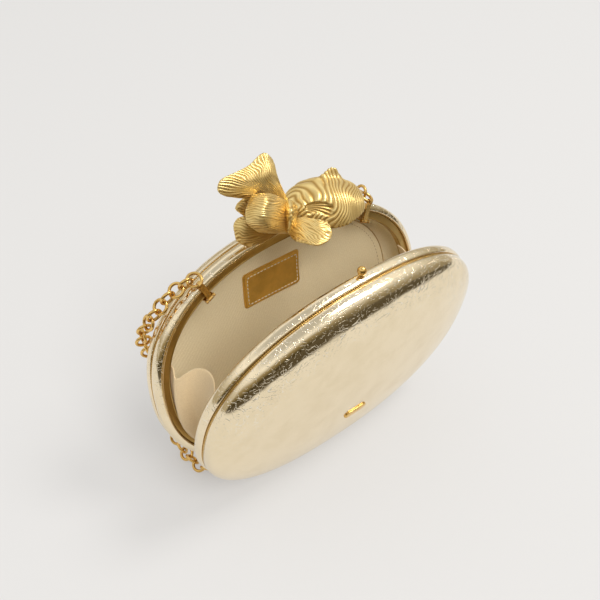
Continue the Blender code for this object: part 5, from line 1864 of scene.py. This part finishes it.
    def stretch(self, name: str, places: Sequence[Matrix], body: str | None, node: str) -> bpy.types.Object:
        """Several rings as one piece.

        Args:
            name: Name of the piece.
            places: Placement of each ring.
            body: Body that it rides on, or None where it is left without one.
            node: Node that it replaces.

        Returns:
            The piece.
        """
        grid, patina = self.torus()
        draft = MeshDraft()
        for matrix in places:
            draft.add_grid(placed(grid, matrix), wrap_columns=True, wrap_rows=True, patina=patina)
        return self.wardrobe.make(draft, name, FinishName.GOLD, body, node)

    def build(self) -> None:
        """Build the end rings and the three stretches."""
        places, first, last = self.matrices()
        for word, sign in (("left", -1), ("right", 1)):
            self.stretch(word + "_round_ring", [self.end_matrix(sign)], word + "_ring", word + "_end_ring")
        self.stretch("chain_lying_rings", places[first:last + 1], Side.REAR.body, "chain_floor_run")
        for word, rings in (("left", places[1:first]), ("right", places[len(places) - 2:last:-1])):
            drop = self.stretch(f"chain_{word}_rings", rings, None, f"chain_{word}_drop")
            Side.REAR.body
            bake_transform(drop)


@dataclass
class SmallParts:
    """The ball stud, the plain badge bar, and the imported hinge, lugs and clasp base."""

    wardrobe: Wardrobe
    ball_sides: int = 40
    ball_steps: int = 26
    ball_rings: int = 21
    # Collar under the ball and the stem into the band: radii, and heights over the rim.
    collar: Pairs = (
        (0.00135, 0.00070), (0.00190, 0.00065), (0.00200, 0.00050), (0.00200, 0.00032), (0.0012, 0.00030),
        (0.0010, 0.00028), (0.0010, -0.0033))
    badge_length: float = 0.0176
    badge_height: float = 0.0058
    badge_x: float = 0.0002
    badge_rise: float = -0.0259
    # Rounded face of the badge: shares of its outline, and heights over the panel.
    badge_face: Pairs = (
        (1.0, -0.0002), (1.0, 0.0005), (0.96, 0.0008), (0.86, 0.0010), (0.6, 0.00115), (0.2, 0.0012))

    def closed_form(self, name: str, rows: Sequence[Grid], *nodes: str) -> None:
        """Make a gold piece on the front shell from its rings, closed at both ends.

        Args:
            name: Name of the piece.
            rows: Rings of points in the shell's frame.
            nodes: Nodes that it replaces.
        """
        draft = MeshDraft()
        draft.add_grid(placed(np.stack(rows), BAG.matrix(Side.FRONT)), wrap_columns=True, close_first=True,
                       close_last=True)
        self.wardrobe.make(draft, name, FinishName.GOLD, Side.FRONT.body, *nodes)

    def ball(self) -> None:
        """The ball on its collar, as one turned form."""
        angles = [math.pi * step / self.ball_steps for step in range(1, self.ball_rings + 1)]
        profile = [(BAG.ball_radius * math.sin(angle), BAG.ball_rise + BAG.ball_radius * math.cos(angle))
                   for angle in angles]
        turn = full_turn(self.ball_sides)
        self.closed_form("ball_button", [
            np.stack([radius * np.cos(turn), -(BAG.ball_depth + radius * np.sin(turn)),
                      np.full_like(turn, BAG.rim_top + height)], axis=1)
            for radius, height in (*profile, *self.collar)], "ball_stud")

    def badge(self) -> None:
        """A plain raised bar on the front panel, with rounded ends."""
        half_length, half_height = self.badge_length / 2, self.badge_height / 2
        outline = rounded_outline((half_length, half_height), half_height)
        rows = []
        for share, lift in self.badge_face:
            x = outline[:, 0] * (1 - (1 - share) * half_height / half_length) + self.badge_x
            z = outline[:, 1] * share + self.badge_rise
            depth = on_crown(x, z, BAG.panel_inset, BAG.panel_edge_depth, BAG.crown_depth) + lift
            rows.append(np.stack([x, -depth, z + BAG.hinge_to_centre], axis=1))
        self.closed_form("plain_badge_bar", rows)

    def packed(self, nodes: dict[str, bpy.types.Object]) -> None:
        """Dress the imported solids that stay.

        Args:
            nodes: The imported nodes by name.
        """
        for name in ("rear_hinge_leaf", "front_hinge_leaf", "hinge_pin", "clasp_base", "left_clasp_rivet",
                     "right_clasp_rivet"):
            self.wardrobe.redress(nodes[name], FinishName.BRASS)
        for word in ("left", "right"):
            for part in ("bracket", "tab", "pin"):
                self.wardrobe.redress(nodes[f"{word}_lug_{part}"], FinishName.GOLD)

    def build(self, nodes: dict[str, bpy.types.Object]) -> None:
        """Build the small parts."""
        self.ball()
        self.badge()
        self.packed(nodes)


@dataclass
class Studio:
    """Pale floor, soft lights and the photograph's camera."""

    camera_at: tuple[float, float, float] = (-0.304392, -0.319542, 0.450935)
    yaw: float = math.radians(44.71805)
    elevation: float = math.radians(42.07717)
    roll: float = math.radians(3.35046)
    focal_px: float = 935.1788
    centre_px: tuple[float, float] = (315.2734, 355.3604)
    frame_px: float = 600.0
    sensor: float = 36.0
    floor_half: float = 3.0
    floor_drop: float = 0.0002
    floor_colour: Colour = (0.69, 0.685, 0.678)
    floor_roughness: float = 0.9
    floor_specular: float = 0.2
    backdrop_colour: Colour = (0.785, 0.772, 0.758)
    backdrop_share: float = 0.5
    paper_edge: tuple[float, float] = (-0.31, -0.26)
    air_colour: Colour = (0.64, 0.635, 0.625)
    ceiling: Colour = (1.0, 0.99, 0.97)
    low_wall: Colour = (0.45, 0.395, 0.29)
    warm_room: Colour = (0.30, 0.235, 0.12)
    dark_room: Colour = (0.055, 0.042, 0.020)
    black: Colour = (0.0, 0.0, 0.0)
    lamp_colour: Colour = (1.0, 0.98, 0.95)
    lamp_aim: tuple[float, float, float] = (0.0, 0.0, 0.06)

    def camera(self) -> None:
        """Set the camera as solved from the photograph."""
        level = math.cos(self.elevation)
        back = Vector((-math.sin(self.yaw) * level, -math.cos(self.yaw) * level, math.sin(self.elevation)))
        right = Vector((math.cos(self.yaw), -math.sin(self.yaw), 0.0))
        up = back.cross(right)
        turned_right = right * math.cos(self.roll) + up * math.sin(self.roll)
        turned_up = -right * math.sin(self.roll) + up * math.cos(self.roll)
        data = bpy.data.cameras.new("photo_camera")
        data.sensor_width = self.sensor
        data.lens = self.focal_px * self.sensor / self.frame_px
        data.shift_x = (self.frame_px / 2 - self.centre_px[0]) / self.frame_px
        data.shift_y = (self.centre_px[1] - self.frame_px / 2) / self.frame_px
        data.clip_start = 0.01
        item = bpy.data.objects.new("photo_camera", data)
        matrix = Matrix((turned_right, turned_up, back)).transposed().to_4x4()
        matrix.translation = self.camera_at
        item.matrix_world = matrix
        bpy.context.scene.collection.objects.link(item)
        bpy.context.scene.camera = item

    def floor(self) -> None:
        """A large pale floor that keeps the bag's shadow."""
        mesh = bpy.data.meshes.new("studio_floor")
        corners = [(x * self.floor_half, y * self.floor_half, -self.floor_drop)
                   for x, y in ((-1, -1), (1, -1), (1, 1), (-1, 1))]
        mesh.from_pydata(corners, [], [(0, 1, 2, 3)])
        floor = bpy.data.objects.new("studio_floor", mesh)
        bpy.context.scene.collection.objects.link(floor)
        material = bpy.data.materials.new("pale_paper")
        material.use_nodes = True
        shader = material.node_tree.nodes["Principled BSDF"].inputs
        sheet = NodeSheet(material.node_tree)
        split = sheet.node("ShaderNodeSeparateXYZ")
        sheet.feed(split.inputs[0], sheet.node("ShaderNodeTexCoord").outputs["Object"])
        path = sheet.node("ShaderNodeLightPath").outputs
        beyond = sheet.span(split.outputs[1], *self.paper_edge, 1.0, 0.0)
        mirrored = sheet.times(beyond, path["Is Glossy Ray"])
        seen = sheet.math("MAXIMUM", path["Is Camera Ray"], path["Is Glossy Ray"])
        part = sheet.times(seen, self.backdrop_share)
        lit = sheet.mix(part, self.floor_colour, self.black)
        glow = sheet.mix(part, self.black, self.backdrop_colour)
        sheet.feed(shader["Base Color"], sheet.mix(mirrored, lit, self.dark_room))
        sheet.feed(shader["Emission Color"], sheet.mix(mirrored, glow, self.black))
        sheet.feed(shader["Emission Strength"], 1.0)
        sheet.feed(shader["Roughness"], self.floor_roughness)
        sheet.feed(shader["Specular IOR Level"], self.floor_specular)
        mesh.materials.append(material)

    def world(self) -> None:
        """Soft white air, and for polished metal a dark room behind the camera under a bright ceiling."""
        world = bpy.data.worlds.new("studio_air")
        bpy.context.scene.world = world
        world.use_nodes = True
        sheet = NodeSheet(world.node_tree)
        shade = world.node_tree.nodes["Background"].inputs
        split = sheet.node("ShaderNodeSeparateXYZ")
        sheet.feed(split.inputs[0], sheet.node("ShaderNodeTexCoord").outputs["Generated"])
        across, ahead, height = split.outputs
        front = sheet.span(ahead, -0.22, 0.0, 1.0, 0.0)
        front = sheet.times(front, sheet.span(across, 0.10, 0.75, 1.0, 0.30))
        bright = sheet.mix(sheet.span(height, 0.72, 0.98, 0.0, 0.45), self.ceiling, self.black)
        room = sheet.mix(sheet.span(height, 0.10, 0.80, 1.0, 0.0), bright, self.low_wall)
        for low, high, colour in ((0.34, 0.66, self.warm_room), (0.0, 0.40, self.dark_room)):
            room = sheet.mix(sheet.times(sheet.span(height, low, high, 1.0, 0.0), front), room, colour)
        path = sheet.node("ShaderNodeLightPath").outputs
        air = sheet.mix(path["Is Glossy Ray"], self.air_colour, room)
        sheet.feed(shade["Color"], sheet.mix(path["Is Camera Ray"], air, self.backdrop_colour))
        sheet.feed(shade["Strength"], 1.0)

    def lamp(self, name: str, place: tuple[float, float, float], size: float, power: float,
             mirrored: bool = True) -> None:
        """One soft round lamp that faces the bag.

        Args:
            name: Name of the lamp.
            place: Where it hangs.
            size: Its diameter.
            power: Its power in watts.
            mirrored: Whether it shows in polished metal.
        """
        data = bpy.data.lights.new(name, "AREA")
        data.shape = "DISK"
        data.size = size
        data.energy = power
        data.color = self.lamp_colour
        item = bpy.data.objects.new(name, data)
        item.location = place
        item.rotation_euler = (Vector(self.lamp_aim) - Vector(place)).to_track_quat("-Z", "Y").to_euler()
        item.visible_glossy = mirrored
        bpy.context.scene.collection.objects.link(item)

    def build(self) -> None:
        """Set the stage."""
        bpy.context.scene.view_settings.view_transform = "Standard"
        self.camera()
        self.floor()
        self.world()
        self.lamp("key_lamp", (1.9, -1.0, 3.4), 1.4, 58.0)
        self.lamp("front_lamp", (-0.4, -2.5, 3.0), 1.8, 72.0, mirrored=False)


def main() -> None:
    """Build the stage and every sub-assembly in order."""
    logging.basicConfig(level=logging.INFO, format="%(name)s: %(message)s")
    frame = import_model()
    Studio().build()
    wardrobe = Wardrobe()
    for side in Side:
        Shell(side, wardrobe).build()
    BackCard(wardrobe).build()
    for sign in (-1, 1):
        Gusset(wardrobe, sign).build()
    Goldfish(wardrobe).build()
    RingChain(wardrobe).build()
    SmallParts(wardrobe).build(frame["nodes"])
    LOG.info("%d pieces dressed", wardrobe.count)


if __name__ == "__main__":
    main()
